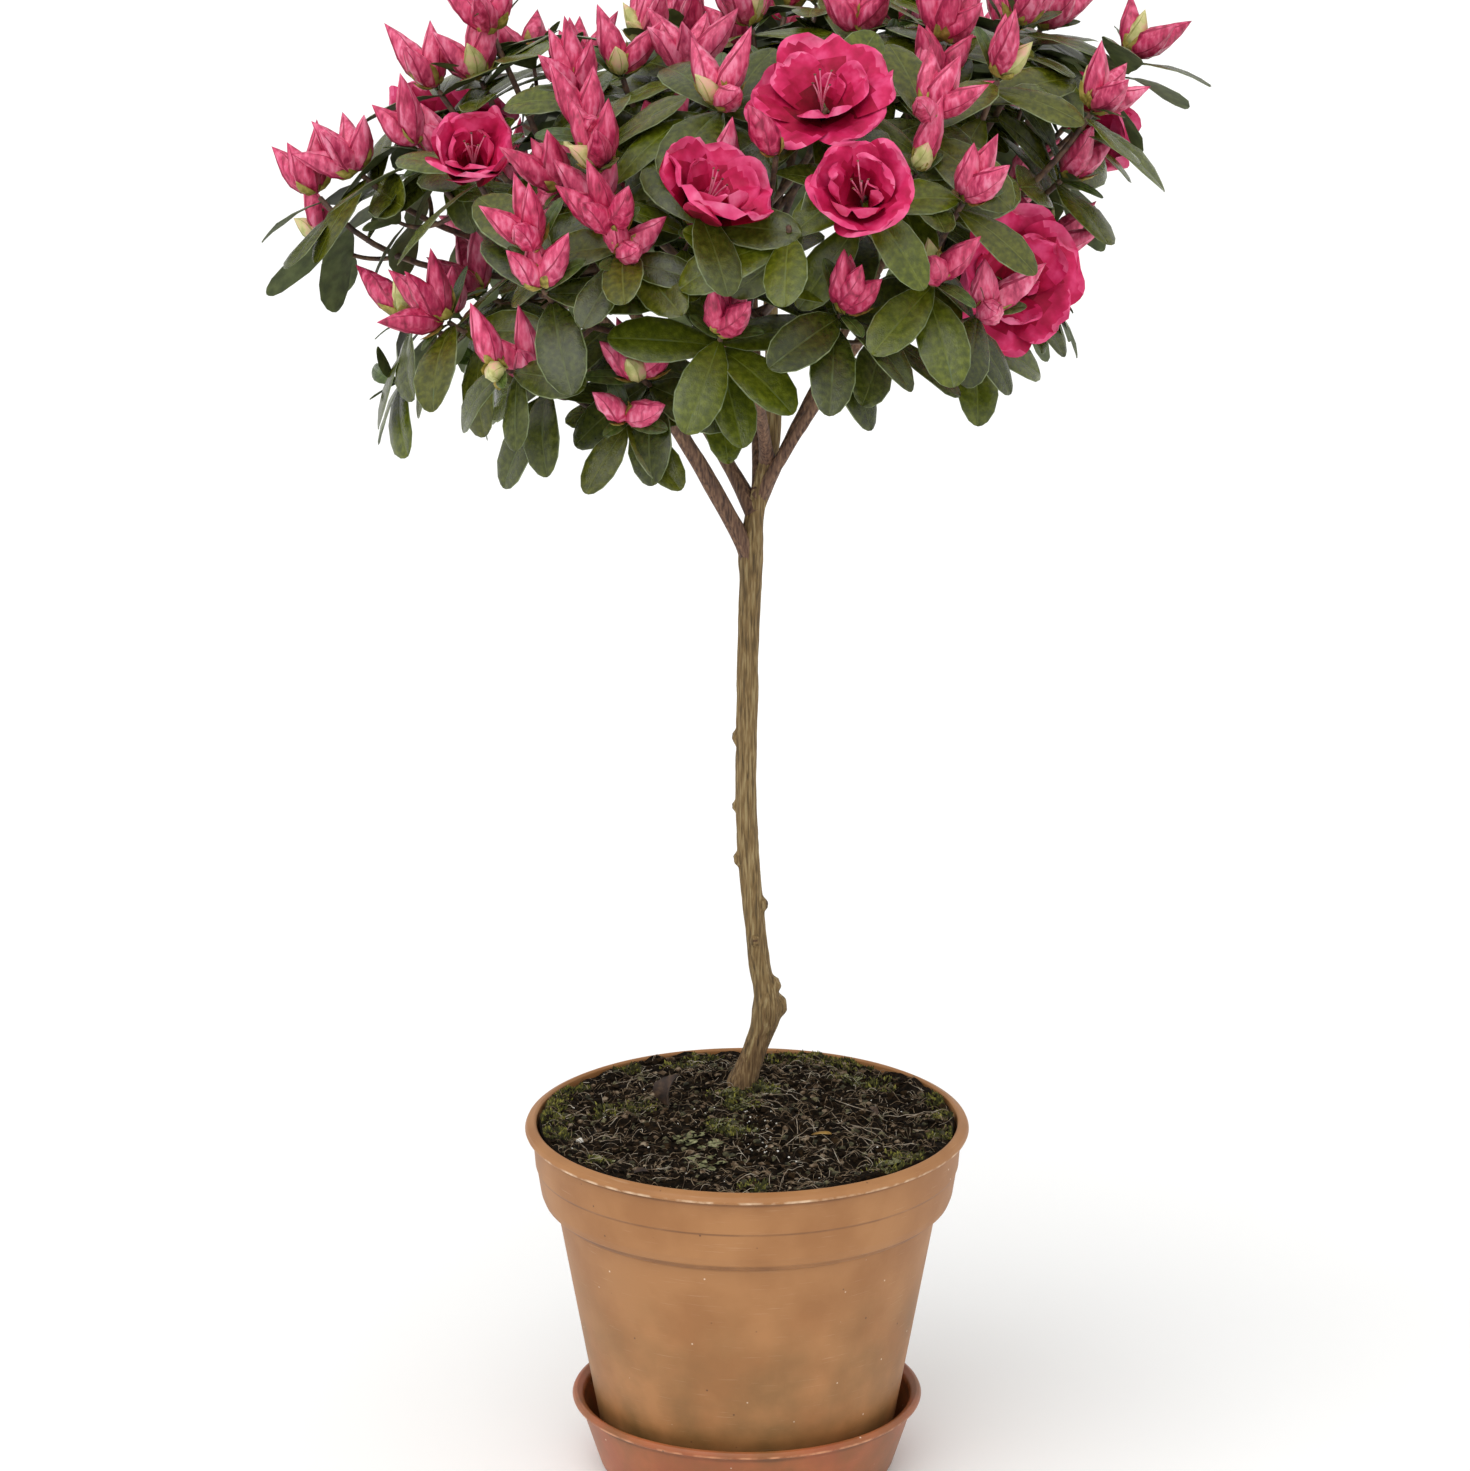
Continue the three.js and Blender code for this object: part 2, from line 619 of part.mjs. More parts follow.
// What a blade that finds no room tries next: how far it leans to the mass's middle, and its scale
const ATTEMPTS = [
  [0, 1],
  [0.35, 1],
  [0.8, 1],
  [0.35, 0.8],
  [0, 0.66],
];
const NEIGHBOUR_REACH = 42;
const placedBlades = [];

// The blade as a solid in the mass's own space, turned or made shorter if it must be, or nothing.
// Blades with the same tag may run into each other at their roots.
function fitted(form, shape, mass, tag) {
  const inward = MASSES[mass].anchor.clone().sub(shape.root).normalize();
  for (const [lean, scale] of ATTEMPTS) {
    const way = shape.way.clone().addScaledVector(inward, lean).normalize();
    const geometry = form({ ...shape, way, up: upperSide(shape.up, way) }, scale);
    const points = pointsOf(geometry);
    if (points.some((p) => depthIn(p, mass) < WALL_GAP) || touchesLimb(points)) continue;
    const middle = shape.root.clone().addScaledVector(way, 0.5 * shape.length);
    const near = placedBlades.filter(
      (other) => other.tag !== tag && other.middle.distanceTo(middle) < NEIGHBOUR_REACH,
    );
    if (near.some((other) => pierces(points, other.points) || pierces(other.points, points))) continue;
    placedBlades.push({ points, middle, tag });
    return solid(geometry);
  }
  return null;
}

const TWIG_RADIUS = 1.2;
const TWIG_END_RADIUS = 2.3;

// The woody stem inside a mass: from just off its bough's tip, or the leader's, to the mass's middle
function massStem(mass) {
  const { row, angle } = MASSES[mass];
  if (!row) {
    const tip = stemCurve.getPoint(1);
    const way = stemCurve.getTangent(1);
    const start = tip.clone().addScaledVector(way, CLEARANCE);
    const end = tip.clone().addScaledVector(way, 38);
    return { curve: new THREE.LineCurve3(start, end), radius: LEADER_TIP_RADIUS - 0.3 };
  }
  const limbCurve = boughCurve(row);
  const way = limbCurve.getTangent(1);
  const start = limbCurve.getPoint(1).addScaledVector(way, CLEARANCE);
  const end = headPoint(angle, STEM_REACH, STEM_TIP_HEIGHT);
  const knee = start.clone().addScaledVector(way, 0.5 * start.distanceTo(end));
  return { curve: new THREE.QuadraticBezierCurve3(start, knee, end), radius: row[4] - 0.2 };
}

function foliage(mass, roses) {
  const { curve, radius } = massStem(mass);
  const pieces = [solid(limb(curve, (t) => radius * (1 - 0.25 * t), 5, 3))];
  for (const rose of roses) {
    const { i, heart, axis } = rose;
    const from = curve.getPoint(0.3 + 0.65 * chance(i, 7));
    const knee = heart.clone().addScaledVector(axis, -0.45 * heart.distanceTo(from));
    const twig = new THREE.QuadraticBezierCurve3(from, knee, heart);
    const thickness = (t) => THREE.MathUtils.lerp(TWIG_RADIUS, TWIG_END_RADIUS, t);
    pieces.push(solid(limb(twig, thickness, 3, 2)));
    budsOf(rose).forEach((bud) => pieces.push(fitted(budSpindle, bud, mass, `buds ${i}`)));
    petalsOf(rose).forEach((petal) => pieces.push(fitted(leafBlade, petal, mass, `petals ${i}`)));
    leavesOf(rose, twig).forEach((leaf, j) => {
      pieces.push(fitted(leafBlade, leaf, mass, `leaf ${i} ${j}`));
    });
  }
  const whole = wasm.Manifold.union(pieces.filter(Boolean));
  return whole.subtract(wasm.Manifold.union(limbsGrown));
}

MASSES.forEach(({ name }, mass) => {
  const own = roses.filter((rose) => rose.mass === mass);
  addPiece("foliage_" + name, geometryOf(foliage(mass, own)), finish.foliage);
});

export default plant;
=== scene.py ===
import math

import bpy
import numpy as np
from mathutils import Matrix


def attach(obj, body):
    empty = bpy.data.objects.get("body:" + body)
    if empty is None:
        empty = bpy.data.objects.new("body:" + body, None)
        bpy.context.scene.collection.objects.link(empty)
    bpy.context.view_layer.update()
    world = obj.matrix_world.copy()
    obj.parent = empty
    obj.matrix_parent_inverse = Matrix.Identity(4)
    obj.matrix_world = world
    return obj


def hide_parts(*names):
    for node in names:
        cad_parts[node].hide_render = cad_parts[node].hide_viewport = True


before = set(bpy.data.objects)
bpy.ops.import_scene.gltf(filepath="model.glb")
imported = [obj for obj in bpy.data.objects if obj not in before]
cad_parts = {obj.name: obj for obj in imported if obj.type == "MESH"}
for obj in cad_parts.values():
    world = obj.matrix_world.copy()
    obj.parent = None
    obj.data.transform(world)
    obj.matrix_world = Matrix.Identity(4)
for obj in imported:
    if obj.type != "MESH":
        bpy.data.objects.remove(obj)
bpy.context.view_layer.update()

MM = 0.001
UP = np.array([0.0, 0.0, 1.0])
RIGHT = np.array([1.0, 0.0, 0.0])
SHARP_EDGE = math.radians(70)

# Pot and saucer
CLEARANCE = 0.3 * MM
POT_RIM_RADIUS = 95 * MM
POT_RIM_HEIGHT = 157.3 * MM
POT_BODY_TOP_RADIUS = 81.7 * MM
POT_BASE_RADIUS = 60.5 * MM
POT_WALL = 1.6 * MM
SAUCER_RIM_RADIUS = 75.5 * MM
SAUCER_HEIGHT = 34 * MM
SAUCER_BASE_RADIUS = 63 * MM
SAUCER_WALL = 1.5 * MM
ROUND_SEGMENTS = 160
EDGE_ROUNDING = 0.8 * MM
POT_FLOOR = SAUCER_WALL + CLEARANCE
BAND_TOP = POT_RIM_HEIGHT - 4.6 * MM
BAND_STEP = POT_RIM_HEIGHT - 19.8 * MM
BAND_FOOT = POT_RIM_HEIGHT - 32.3 * MM
BODY_TOP = POT_RIM_HEIGHT - 36.8 * MM

# Potting mix
FOOT = np.array([-2.5, 32, 161.5]) * MM
MOUND_SEAT_RADIUS = 13 * MM
MIX_EDGE_HEIGHT = 154 * MM
MIX_EDGE_RADIUS = POT_RIM_RADIUS - 4.4 * MM - POT_WALL - CLEARANCE
MIX_UNDERSIDE = 138 * MM

# Stem: [x, height] of its middle line, then its stubs: height, direction in degrees, size
STEM_LINE = np.array([
    (-2.5, 161.5), (3.5, 178), (8.6, 196), (5, 219), (0.8, 262), (-0.4, 300),
    (1.2, 380), (2.6, 412), (7.9, 437), (11, 456), (9, 524),
]) * MM
GRAFT_HEIGHT = 195 * MM
FORK_HEIGHT = 400 * MM
STEM_RADIUS = 4.5 * MM
LEADER_TIP_RADIUS = 2.7 * MM
STEM_KNOTS = [
    (318, 185, 2.2), (287, 170, 1.7), (264, 190, 2.3), (243, -15, 2.3),
    (228, -95, 1.8), (206, 5, 2.6), (197, 12, 3.2),
]

# Head
HEAD = np.array([2, 32, 560]) * MM
HEAD_RADIUS = 156 * MM
HEAD_RISE = 58 * MM
HEAD_DROP = 64 * MM
HEAD_TILT = 0.12
UPPER_FULLNESS = 0.66
LOWER_FULLNESS = 1.25
HEAD_LAST_ANGLE = math.radians(132)
OUTLINE_STEPS = 120
ROSETTES = 67
AXIS_FOCUS_DROP = 45 * MM
AXIS_LIFT = 0.9  # shoots turn up towards the light
GOLDEN_ANGLE = math.pi * (3 - math.sqrt(5))
FIRST_TURN = math.radians(94)
HEART_MARGIN = 5 * MM

# Boughs: name, direction in degrees, height on the stem, radius at the stem and at the tip in mm
BOUGHS = [
    ("front_left", 205, 398, 3.7, 2.6), ("back_left", 148, 417, 3.2, 2.4),
    ("back", 90, 426, 2.6, 2), ("back_right", 32, 416, 2.3, 1.9),
    ("front_right", 333, 424, 2.5, 2), ("front", 268, 440, 2.6, 2),
]
BOUGH_REACH = 62 * MM
BOUGH_TIP_HEIGHT = 506 * MM
STEM_REACH = 96 * MM
STEM_TIP_HEIGHT = 531 * MM
LEADER_RUN = 38 * MM
ANCHOR_REACH = 118 * MM
TOP_ANCHOR_RISE = 60 * MM

# What is seen from the front: x, y and z in mm of a rosette's heart, its buds, and for a bloom how
# far it has opened. Each takes over the nearest rosette that is still free.
SEEN_ROSETTES = [
    (-165, 45, 559, 5, 0), (-113, -33, 580, 0, 0.45), (-111, 62, 595, 4, 0), (-129, 62, 591, 2, 0),
    (-106, 61, 615, 3, 0), (-67, -18, 604, 3, 0), (-63, -71, 599, 2, 0), (-51, 0, 609, 2, 0),
    (-57, -94, 591, 3, 0), (-40, 41, 612, 4, 0), (-11, -73, 612, 3, 0), (2, 58, 618, 3, 0),
    (31, -82, 613, 0, 1), (11, -109, 599, 2, 0), (72, -83, 609, 5, 0), (80, 2, 622, 4, 0),
    (101, -31, 614, 2, 0), (122, 61, 617, 4, 0), (140, -14, 597, 4, 0), (159, 54, 606, 5, 0),
    (-52, -116, 570, 5, 0), (-83, -110, 563, 3, 0), (-81, -111, 546, 2, 0), (16, -127, 575, 4, 0),
    (-19, -122, 581, 0, 0.72), (46, -118, 585, 0, 0.6), (74, -106, 548, 2, 0), (106, -46, 535, 0, 0.95),
    (-122, -36, 515, 5, 0), (-84, -90, 503, 2, 0), (-42, -93, 505, 3, 0), (-11, -115, 528, 3, 0),
    (37, -114, 537, 5, 0), (-136, 30, 573, 2, 0), (84, -104, 579, 2, 0), (-184, 48, 548, 2, 0),
    (129, 2, 566, 1, 0), (112, 62, 546, 1, 0), (-139, 5, 507, 1, 0),
]
# Blooms on the sides that are not seen from the front: the rosette nearest to each place
HIDDEN_BLOOMS = [(-128, 97, 585, 0.9), (3, 172, 572, 0.8), (140, 110, 570, 0.95)]

# Side shoots: how far their hearts lie beside and below the rosette's, how far they lean from its
# axis, least and range above it, and the share of its twig at which they start
SIDE_SHOOT_ASIDE = (23 * MM, 9 * MM)
SIDE_SHOOT_BELOW = (12 * MM, 12 * MM)
SIDE_SHOOT_LEAN = (0.35, 0.35)
SIDE_SHOOT_START = 0.62

# Leaves and buds: least and range above it
LEAF_LENGTH = (38 * MM, 10 * MM)
LEAF_WIDTH_SHARE = (0.41, 0.1)
LEAF_OFF_AXIS = (math.radians(66), math.radians(30))
LEAF_SAG = 0.1
LOW_LEAF_SAG = 0.45
LEAF_THICKNESS = 0.45 * MM
MIDRIB_DEPTH = 0.25 * MM
LEAF_REACH = 207 * MM  # how far from the head's middle the farthest leaf ends
# Fewest leaves and older leaves of a shoot: seen from the front and its side shoot, then the others
LEAVES_LEAST = np.array([5, 3, 6, 5])
OLDER_LEAVES = np.array([1, 0, 2, 1])
BUD_LENGTH = (24 * MM, 11 * MM)
BUD_WIDTH = (10 * MM, 2 * MM)
BUD_OFF_AXIS = (math.radians(12), math.radians(50))
BUD_LIFT = 0.3
BUDDING_SHARE = np.array([1, 0.85, 0.86, 0.3])  # by shoots as in LEAVES_LEAST


# Numbers

U = np.uint64


def chance(i, k):
    """Seeded numbers from 0 to 1 for items i and purposes k: the rule that the solids are drawn by"""
    word = (np.asarray(i).astype(U) + U(1)) * U(374761393) + (np.asarray(k).astype(U) + U(1)) * U(668265263)
    word = word & U(0xFFFFFFFF)
    word = ((word ^ (word >> U(13))) * U(1274126177)) & U(0xFFFFFFFF)
    return (word ^ (word >> U(16))) / 4294967296.0


def between(span, i, k):
    """Seeded numbers over a span, given as its least and its range"""
    return span[0] + span[1] * chance(i, k)


def unit(v):
    """Directions: vectors over their lengths"""
    return v / np.linalg.norm(v, axis=-1, keepdims=True)


def smooth(x, low, high):
    """0 below low, 1 above high, and an S-shaped rise between them"""
    t = np.clip((x - low) / (high - low), 0, 1)
    return t * t * (3 - 2 * t)


def bezier(a, b, c, t):
    """Points at shares t of the curves from a to c that bend towards b"""
    return a * (1 - t) ** 2 + b * (2 * t * (1 - t)) + c * t**2


def noise(u, v, seed, around=None):
    """Heights from -1 to 1 at whole numbers of u and v, blended smoothly between them. The pattern
    repeats along u after `around` steps."""
    iu, iv = np.floor(u), np.floor(v)
    fu = smooth(u - iu, 0, 1)
    fv = smooth(v - iv, 0, 1)

    def corner(a, b):
        column = np.mod(iu + a, around) if around else iu + a + 4096
        return chance(column + 8191 * (iv + b + 4096), seed)

    low = corner(0, 0) * (1 - fu) + corner(1, 0) * fu
    high = corner(0, 1) * (1 - fu) + corner(1, 1) * fu
    return 2 * (low * (1 - fv) + high * fv) - 1


# Meshes


def loft(rings, start, end, side_finish=0, end_finish=0):
    """Closed shapes. rings is (shapes, rings, corners, 3), and each ring runs anticlockwise about the
    way from start to end, the points in which the shape closes. The finishes say which of the piece's
    materials a face takes: for the faces between rings, and for those at the two ends."""
    shapes, count, sides, _ = rings.shape
    corners = np.concatenate([rings.reshape(shapes, -1, 3), start[:, None], end[:, None]], 1)
    here = np.arange(count * sides).reshape(count, sides)
    after = np.roll(here, -1, 1)
    quads = np.stack([here[:-1], after[:-1], after[1:], here[1:]], -1).reshape(-1, 4)
    first = np.stack([np.full(sides, count * sides), after[0], here[0]], -1)
    last = np.stack([np.full(sides, count * sides + 1), here[-1], after[-1]], -1)
    step = (np.arange(shapes) * corners.shape[1])[:, None, None]
    return {
        "corners": corners.reshape(-1, 3),
        "quads": (quads + step).reshape(-1, 4),
        "triangles": (np.concatenate([first, last]) + step).reshape(-1, 3),
        "quad_finish": np.broadcast_to(side_finish, (shapes, count - 1, sides)).reshape(-1),
        "triangle_finish": np.broadcast_to(end_finish, (shapes, 2, sides)).reshape(-1),
    }


def joined(shapes):
    """Several results of loft() as one"""
    steps = np.cumsum([0] + [len(s["corners"]) for s in shapes[:-1]])
    whole = {key: [s[key] for s in shapes] for key in shapes[0]}
    whole["quads"] = [q + step for q, step in zip(whole["quads"], steps)]
    whole["triangles"] = [t + step for t, step in zip(whole["triangles"], steps)]
    return {key: np.concatenate(parts) for key, parts in whole.items()}


def placed(root, *parts):
    """Points at each shape's root and so far on along its directions. A part is the shapes' direction,
    (shapes, 3), and how far along it every corner lies, (shapes, rings, corners)."""
    rings = root[:, None, None]
    for direction, distance in parts:
        rings = rings + direction[:, None, None] * distance[..., None]
    return rings


def on_line(root, way, length, shares):
    """Points at shares of straight lines"""
    return root[:, None] + way[:, None] * length[:, None, None] * np.array(shares)[:, None]


def add_piece(name, shape, finishes, replaced=()):
    """A new object from a result of loft(), which rides on the plant"""
    mesh = bpy.data.meshes.new(name)
    quads, triangles = shape["quads"], shape["triangles"]
    mesh.vertices.add(len(shape["corners"]))
    mesh.vertices.foreach_set("co", shape["corners"].astype(np.float32).ravel())
    mesh.loops.add(quads.size + triangles.size)
    around_faces = np.concatenate([quads.ravel(), triangles.ravel()])
    mesh.loops.foreach_set("vertex_index", around_faces.astype(np.int32))
    mesh.polygons.add(len(quads) + len(triangles))
    starts = np.concatenate([np.arange(len(quads)) * 4, quads.size + np.arange(len(triangles)) * 3])
    mesh.polygons.foreach_set("loop_start", starts.astype(np.int32))
    for finish in finishes:
        mesh.materials.append(finish)
    chosen = np.concatenate([shape["quad_finish"], shape["triangle_finish"]])
    mesh.polygons.foreach_set("material_index", chosen.astype(np.int32))
    mesh.polygons.foreach_set("use_smooth", np.ones(len(starts), bool))
    mesh.update(calc_edges=True)
    mesh.set_sharp_from_angle(angle=SHARP_EDGE)
    piece = bpy.data.objects.new(name, mesh)
    bpy.context.scene.collection.objects.link(piece)
    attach(piece, "root")
    if replaced:
        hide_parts(*replaced)


def rods(points, radii, sides, finish=0, end_finish=None):
    """Round rods along middle lines: at each step a ring of corners, at cosines and sines of their
    turn times the radius, across the way that the line runs. points is (rods, steps, 3), and radii is
    (rods, steps) or, for a surface with relief, (rods, steps, sides)."""
    along = unit(np.gradient(points, axis=1))
    chord = np.abs(points[:, -1] - points[:, 0])
    reference = np.eye(3)[np.argmin(chord, -1)][:, None]
    across = unit(reference - along * np.sum(reference * along, -1, keepdims=True))
    out = np.cross(along, across)
    turn = np.arange(sides) * (2 * math.pi / sides)
    radii = radii if radii.ndim == 3 else radii[..., None]
    ring = across[:, :, None] * np.cos(turn)[:, None] + out[:, :, None] * np.sin(turn)[:, None]
    rings = points[:, :, None] + ring * radii[..., None]
    end = points[:, -1] + along[:, -1] * radii[:, -1].mean(-1)[:, None] * 0.7
    return loft(rings, points[:, 0], end, finish, finish if end_finish is None else end_finish)


# Materials


def linear(hex_colour):
    """An sRGB hex value as linear RGBA"""
    parts = [int(hex_colour[i:i + 2], 16) / 255 for i in (1, 3, 5)]
    return [c / 12.92 if c <= 0.04045 else ((c + 0.055) / 1.055) ** 2.4 for c in parts] + [1.0]


def output(source):
    """The socket that a source stands for: a node's first output, or the output with an identifier"""
    if isinstance(source, tuple):
        made, identifier = source
        return next(s for s in made.outputs if s.identifier == identifier)
    return source.outputs[0]


def node(tree, kind, inputs, **settings):
    """Adds a node. inputs maps a socket's identifier to a value or to a source, which is a node, or a
    node and the identifier of its output."""
    made = tree.nodes.new(kind)
    for key, value in settings.items():
        setattr(made, key, value)
    for key, value in inputs.items():
        socket = next(s for s in made.inputs if key in (s.identifier, s.name))
        if isinstance(value, (bpy.types.Node, tuple)):
            tree.links.new(output(value), socket)
        else:
            socket.default_value = value
    return made


def new_finish(name, roughness, **sockets):
    """A material and its tree, with a Principled shader. Object coordinates are its first node."""
    material = bpy.data.materials.new(name)
    material.use_nodes = True
    tree = material.node_tree
    shader = tree.nodes["Principled BSDF"]
    shader.inputs["Roughness"].default_value = roughness
    for key, value in sockets.items():
        shader.inputs[key.replace("_", " ")].default_value = value
    place = (node(tree, "ShaderNodeTexCoord", {}), "Object")
    return material, tree, shader, place


def layered(tree, ground, layers):
    """A ground colour with others laid over it in turn. A layer is the source of the share by which it
    covers, and its colour."""
    colour = linear(ground)
    for share, tint in layers:
        laid = node(tree, "ShaderNodeMix", {
            "Factor_Float": share, "A_Color": colour, "B_Color": linear(tint),
        }, data_type="RGBA")
        colour = (laid, "Result_Color")
    return colour


def grained(name, colours, grain, roughness, bump, stretch=(1, 1, 1), **sockets):
    """A finish that passes through three colours over patches `grain` metres across, drawn out by
    `stretch`, with a fine relief `bump` metres deep"""
    material, tree, shader, place = new_finish(name, roughness, **sockets)
    low, middle, high = colours
    drawn = node(tree, "ShaderNodeMapping", {"Vector": place, "Scale": [1 / s for s in stretch]})
    patches = node(tree, "ShaderNodeTexNoise", {"Vector": drawn, "Scale": 1 / grain, "Detail": 3.0})
    shade = node(tree, "ShaderNodeMapRange", {"Value": patches, "From Min": 0.32, "From Max": 0.5})
    light = node(tree, "ShaderNodeMapRange", {"Value": patches, "From Min": 0.5, "From Max": 0.68})
    colour = layered(tree, low, [(shade, middle), (light, high)])
    fine = node(tree, "ShaderNodeTexNoise", {"Vector": drawn, "Scale": 4 / grain, "Detail": 2.0})
    relief = node(tree, "ShaderNodeBump", {"Height": fine, "Distance": bump, "Strength": 0.6})
    tree.links.new(output(colour), shader.inputs["Base Color"])
    tree.links.new(output(relief), shader.inputs["Normal"])
    return material


def pot_finish(name, colours, stain, worn_height, shaded_creases, roughness):
    """Moulded polypropylene, coloured like fired clay. It is matt and even, and it has soft cloudy
    stains low down, pale wear where the edge at worn_height was rubbed, dark lines in the creases
    that are painted shade with some dirt, fine level scratches, and scattered specks of lime and of
    peat. For each crease it is given the height, half the width, and how strong its painted shade
    and dirt are."""
    material, tree, shader, place = new_finish(name, roughness)
    deep, plain, pale = colours
    clouds = node(tree, "ShaderNodeTexNoise", {"Vector": place, "Scale": 1 / (30 * MM), "Detail": 6.0})
    cloud = node(tree, "ShaderNodeMapRange", {"Value": clouds, "From Min": 0.38, "From Max": 0.62})
    height = (node(tree, "ShaderNodeSeparateXYZ", {"Vector": place}), "Z")

    # Algae and water stain: strongest low on the wall
    film = node(tree, "ShaderNodeTexNoise", {"Vector": place, "Scale": 1 / (22 * MM), "Detail": 5.0})
    low = node(tree, "ShaderNodeMapRange", {"Value": height, "From Min": 110 * MM, "From Max": 30 * MM})
    spread = node(tree, "ShaderNodeMapRange", {"Value": film, "From Min": 0.35, "From Max": 0.7})
    stained = node(tree, "ShaderNodeMath", {"Value": low, "Value_001": spread}, operation="MULTIPLY")

    # Level scratches, 0.5 mm high and 14 mm long
    level = node(tree, "ShaderNodeMapping", {"Vector": place, "Scale": [1, 1, 28]})
    scores = node(tree, "ShaderNodeTexNoise", {"Vector": level, "Scale": 1 / (14 * MM), "Detail": 2.0})
    scored = node(tree, "ShaderNodeMapRange", {
        "Value": scores, "From Min": 0.66, "From Max": 0.74, "To Max": 0.14,
    })

    # The rubbed edge: a line about 1.2 mm high, broken up by patches 6 mm across
    offset = node(tree, "ShaderNodeMath", {"Value": height, "Value_001": worn_height}, operation="SUBTRACT")
    away = node(tree, "ShaderNodeMath", {"Value": offset}, operation="ABSOLUTE")
    edge = node(tree, "ShaderNodeMapRange", {"Value": away, "From Min": 0.9 * MM, "From Max": 0.3 * MM})
    rubs = node(tree, "ShaderNodeTexNoise", {"Vector": place, "Scale": 1 / (6 * MM), "Detail": 6.0})
    rubbed = node(tree, "ShaderNodeMapRange", {"Value": rubs, "From Min": 0.42, "From Max": 0.66})
    wear = node(tree, "ShaderNodeMath", {"Value": edge, "Value_001": rubbed}, operation="MULTIPLY")
    layers = [(cloud, plain), (stained, stain), (scored, pale), (wear, pale)]

    # Painted shade in the creases under the lip and at the band's steps, with some dirt: soft dark level
    # lines that fade in places
    for crease, half, strength in shaded_creases:
        offset = node(tree, "ShaderNodeMath", {"Value": height, "Value_001": crease}, operation="SUBTRACT")
        away = node(tree, "ShaderNodeMath", {"Value": offset}, operation="ABSOLUTE")
        line = node(tree, "ShaderNodeMapRange", {"Value": away, "From Min": half, "From Max": 0.35 * half})
        thin = node(tree, "ShaderNodeMapRange", {
            "Value": film, "From Min": 0.35, "From Max": 0.6, "To Min": 0.3 * strength, "To Max": strength,
        })
        crease_shade_and_dirt = node(tree, "ShaderNodeMath", {"Value": line, "Value_001": thin}, operation="MULTIPLY")
        layers.append((crease_shade_and_dirt, "#5E3A20"))

    # Specks of lime and of peat under a millimetre across, one in each of so large a share of cells
    for size, share, tint in ((9 * MM, 0.68, "#E8D6BE"), (10 * MM, 0.64, "#5A3A24")):
        cells = node(tree, "ShaderNodeTexVoronoi", {"Vector": place, "Scale": 1 / size})
        dot = node(tree, "ShaderNodeMapRange", {
            "Value": (cells, "Distance"), "From Min": 0.06, "From Max": 0.02,
        })
        cell = node(tree, "ShaderNodeSeparateColor", {"Color": (cells, "Color")})
        picked = node(tree, "ShaderNodeMath", {"Value": cell, "Value_001": share}, operation="LESS_THAN")
        mark = node(tree, "ShaderNodeMath", {"Value": dot, "Value_001": picked}, operation="MULTIPLY")
        layers.append((mark, tint))

    colour = layered(tree, deep, layers)
    matt = node(tree, "ShaderNodeTexNoise", {"Vector": place, "Scale": 1 / (1.2 * MM), "Detail": 3.0})
    relief = node(tree, "ShaderNodeBump", {"Height": matt, "Distance": 0.06 * MM, "Strength": 0.5})
    tree.links.new(output(colour), shader.inputs["Base Color"])
    tree.links.new(output(relief), shader.inputs["Normal"])
    return material


# Bark of a grown stem: grey-brown and stringy, dull, with fissures that run up it
BARK = grained("azalea_bark_weathered", ("#54442A", "#81673F", "#A28E64"), 0.9 * MM, 0.85, 0.5 * MM,
               stretch=(1, 1, 12))
# The same bark low down by the mix: darker and browner
FOOT_BARK = grained("azalea_bark_dark_foot", ("#42311A", "#705534", "#8F7650"), 0.9 * MM, 0.85, 0.5 * MM,
                    stretch=(1, 1, 12))
# The dark hollow end of a stub, where a shoot was cut off
CUT_WOOD = grained("azalea_cut_wood", ("#2A1C12", "#4A3422", "#6E523A"), 1.5 * MM, 0.9, 0.3 * MM)
# Bark of two-year wood: smoother and redder
BOUGH_BARK = grained("azalea_bark_two_year", ("#3E2A20", "#6A4C3A", "#8A6A50"), 1 * MM, 0.75, 0.3 * MM,
                     stretch=(1, 1, 7))
# Rind of this year's shoots: thin and purple-brown
TWIG_RIND = grained("azalea_twig_rind", ("#3A2A24", "#5C4234", "#7A5E45"), 3 * MM, 0.6, 0.15 * MM)

# Leaf: leathery and half matt, with a waxy skin that gives it a broad soft shine
LEAF_TINTS = [
    ("deep", "#272E06", "#353C09", "#464D14"),
    ("olive", "#3A4006", "#4B4F0A", "#5D6117"),
    ("grey", "#323909", "#41480F", "#535A1D"),
    ("fresh", "#3F4906", "#4F580A", "#626B17"),
]


def leaf_finishes(tint, low, middle, high):
    """Blade, downy margin, underside and midrib of one tint of leaf"""
    blade = grained(f"azalea_leaf_{tint}", (low, middle, high), 2.4 * MM, 0.27, 0.3 * MM)
    margin = grained(f"azalea_leaf_margin_{tint}", ("#4E5A2E", "#687448", "#868F66"), 4 * MM, 0.5, 0.05 * MM)
    under = grained(f"azalea_leaf_under_{tint}", ("#424D26", "#525E30", "#626D3C"), 5 * MM, 0.65, 0.1 * MM)
    rib = grained(f"azalea_leaf_rib_{tint}", (middle, high, "#4F5C33"), 6 * MM, 0.45, 0.05 * MM)
    return [blade, margin, under, rib]


LEAF_FINISHES = [leaf_finishes(*tint) for tint in LEAF_TINTS]
YOUNG_LEAF_FINISHES = leaf_finishes("young", "#33431A", "#435522", "#55682E")

# Bud scales: papery, from straw to brown
SCALE = grained("azalea_bud_scale", ("#6E5E22", "#978A38", "#BBAA58"), 3 * MM, 0.6, 0.1 * MM)
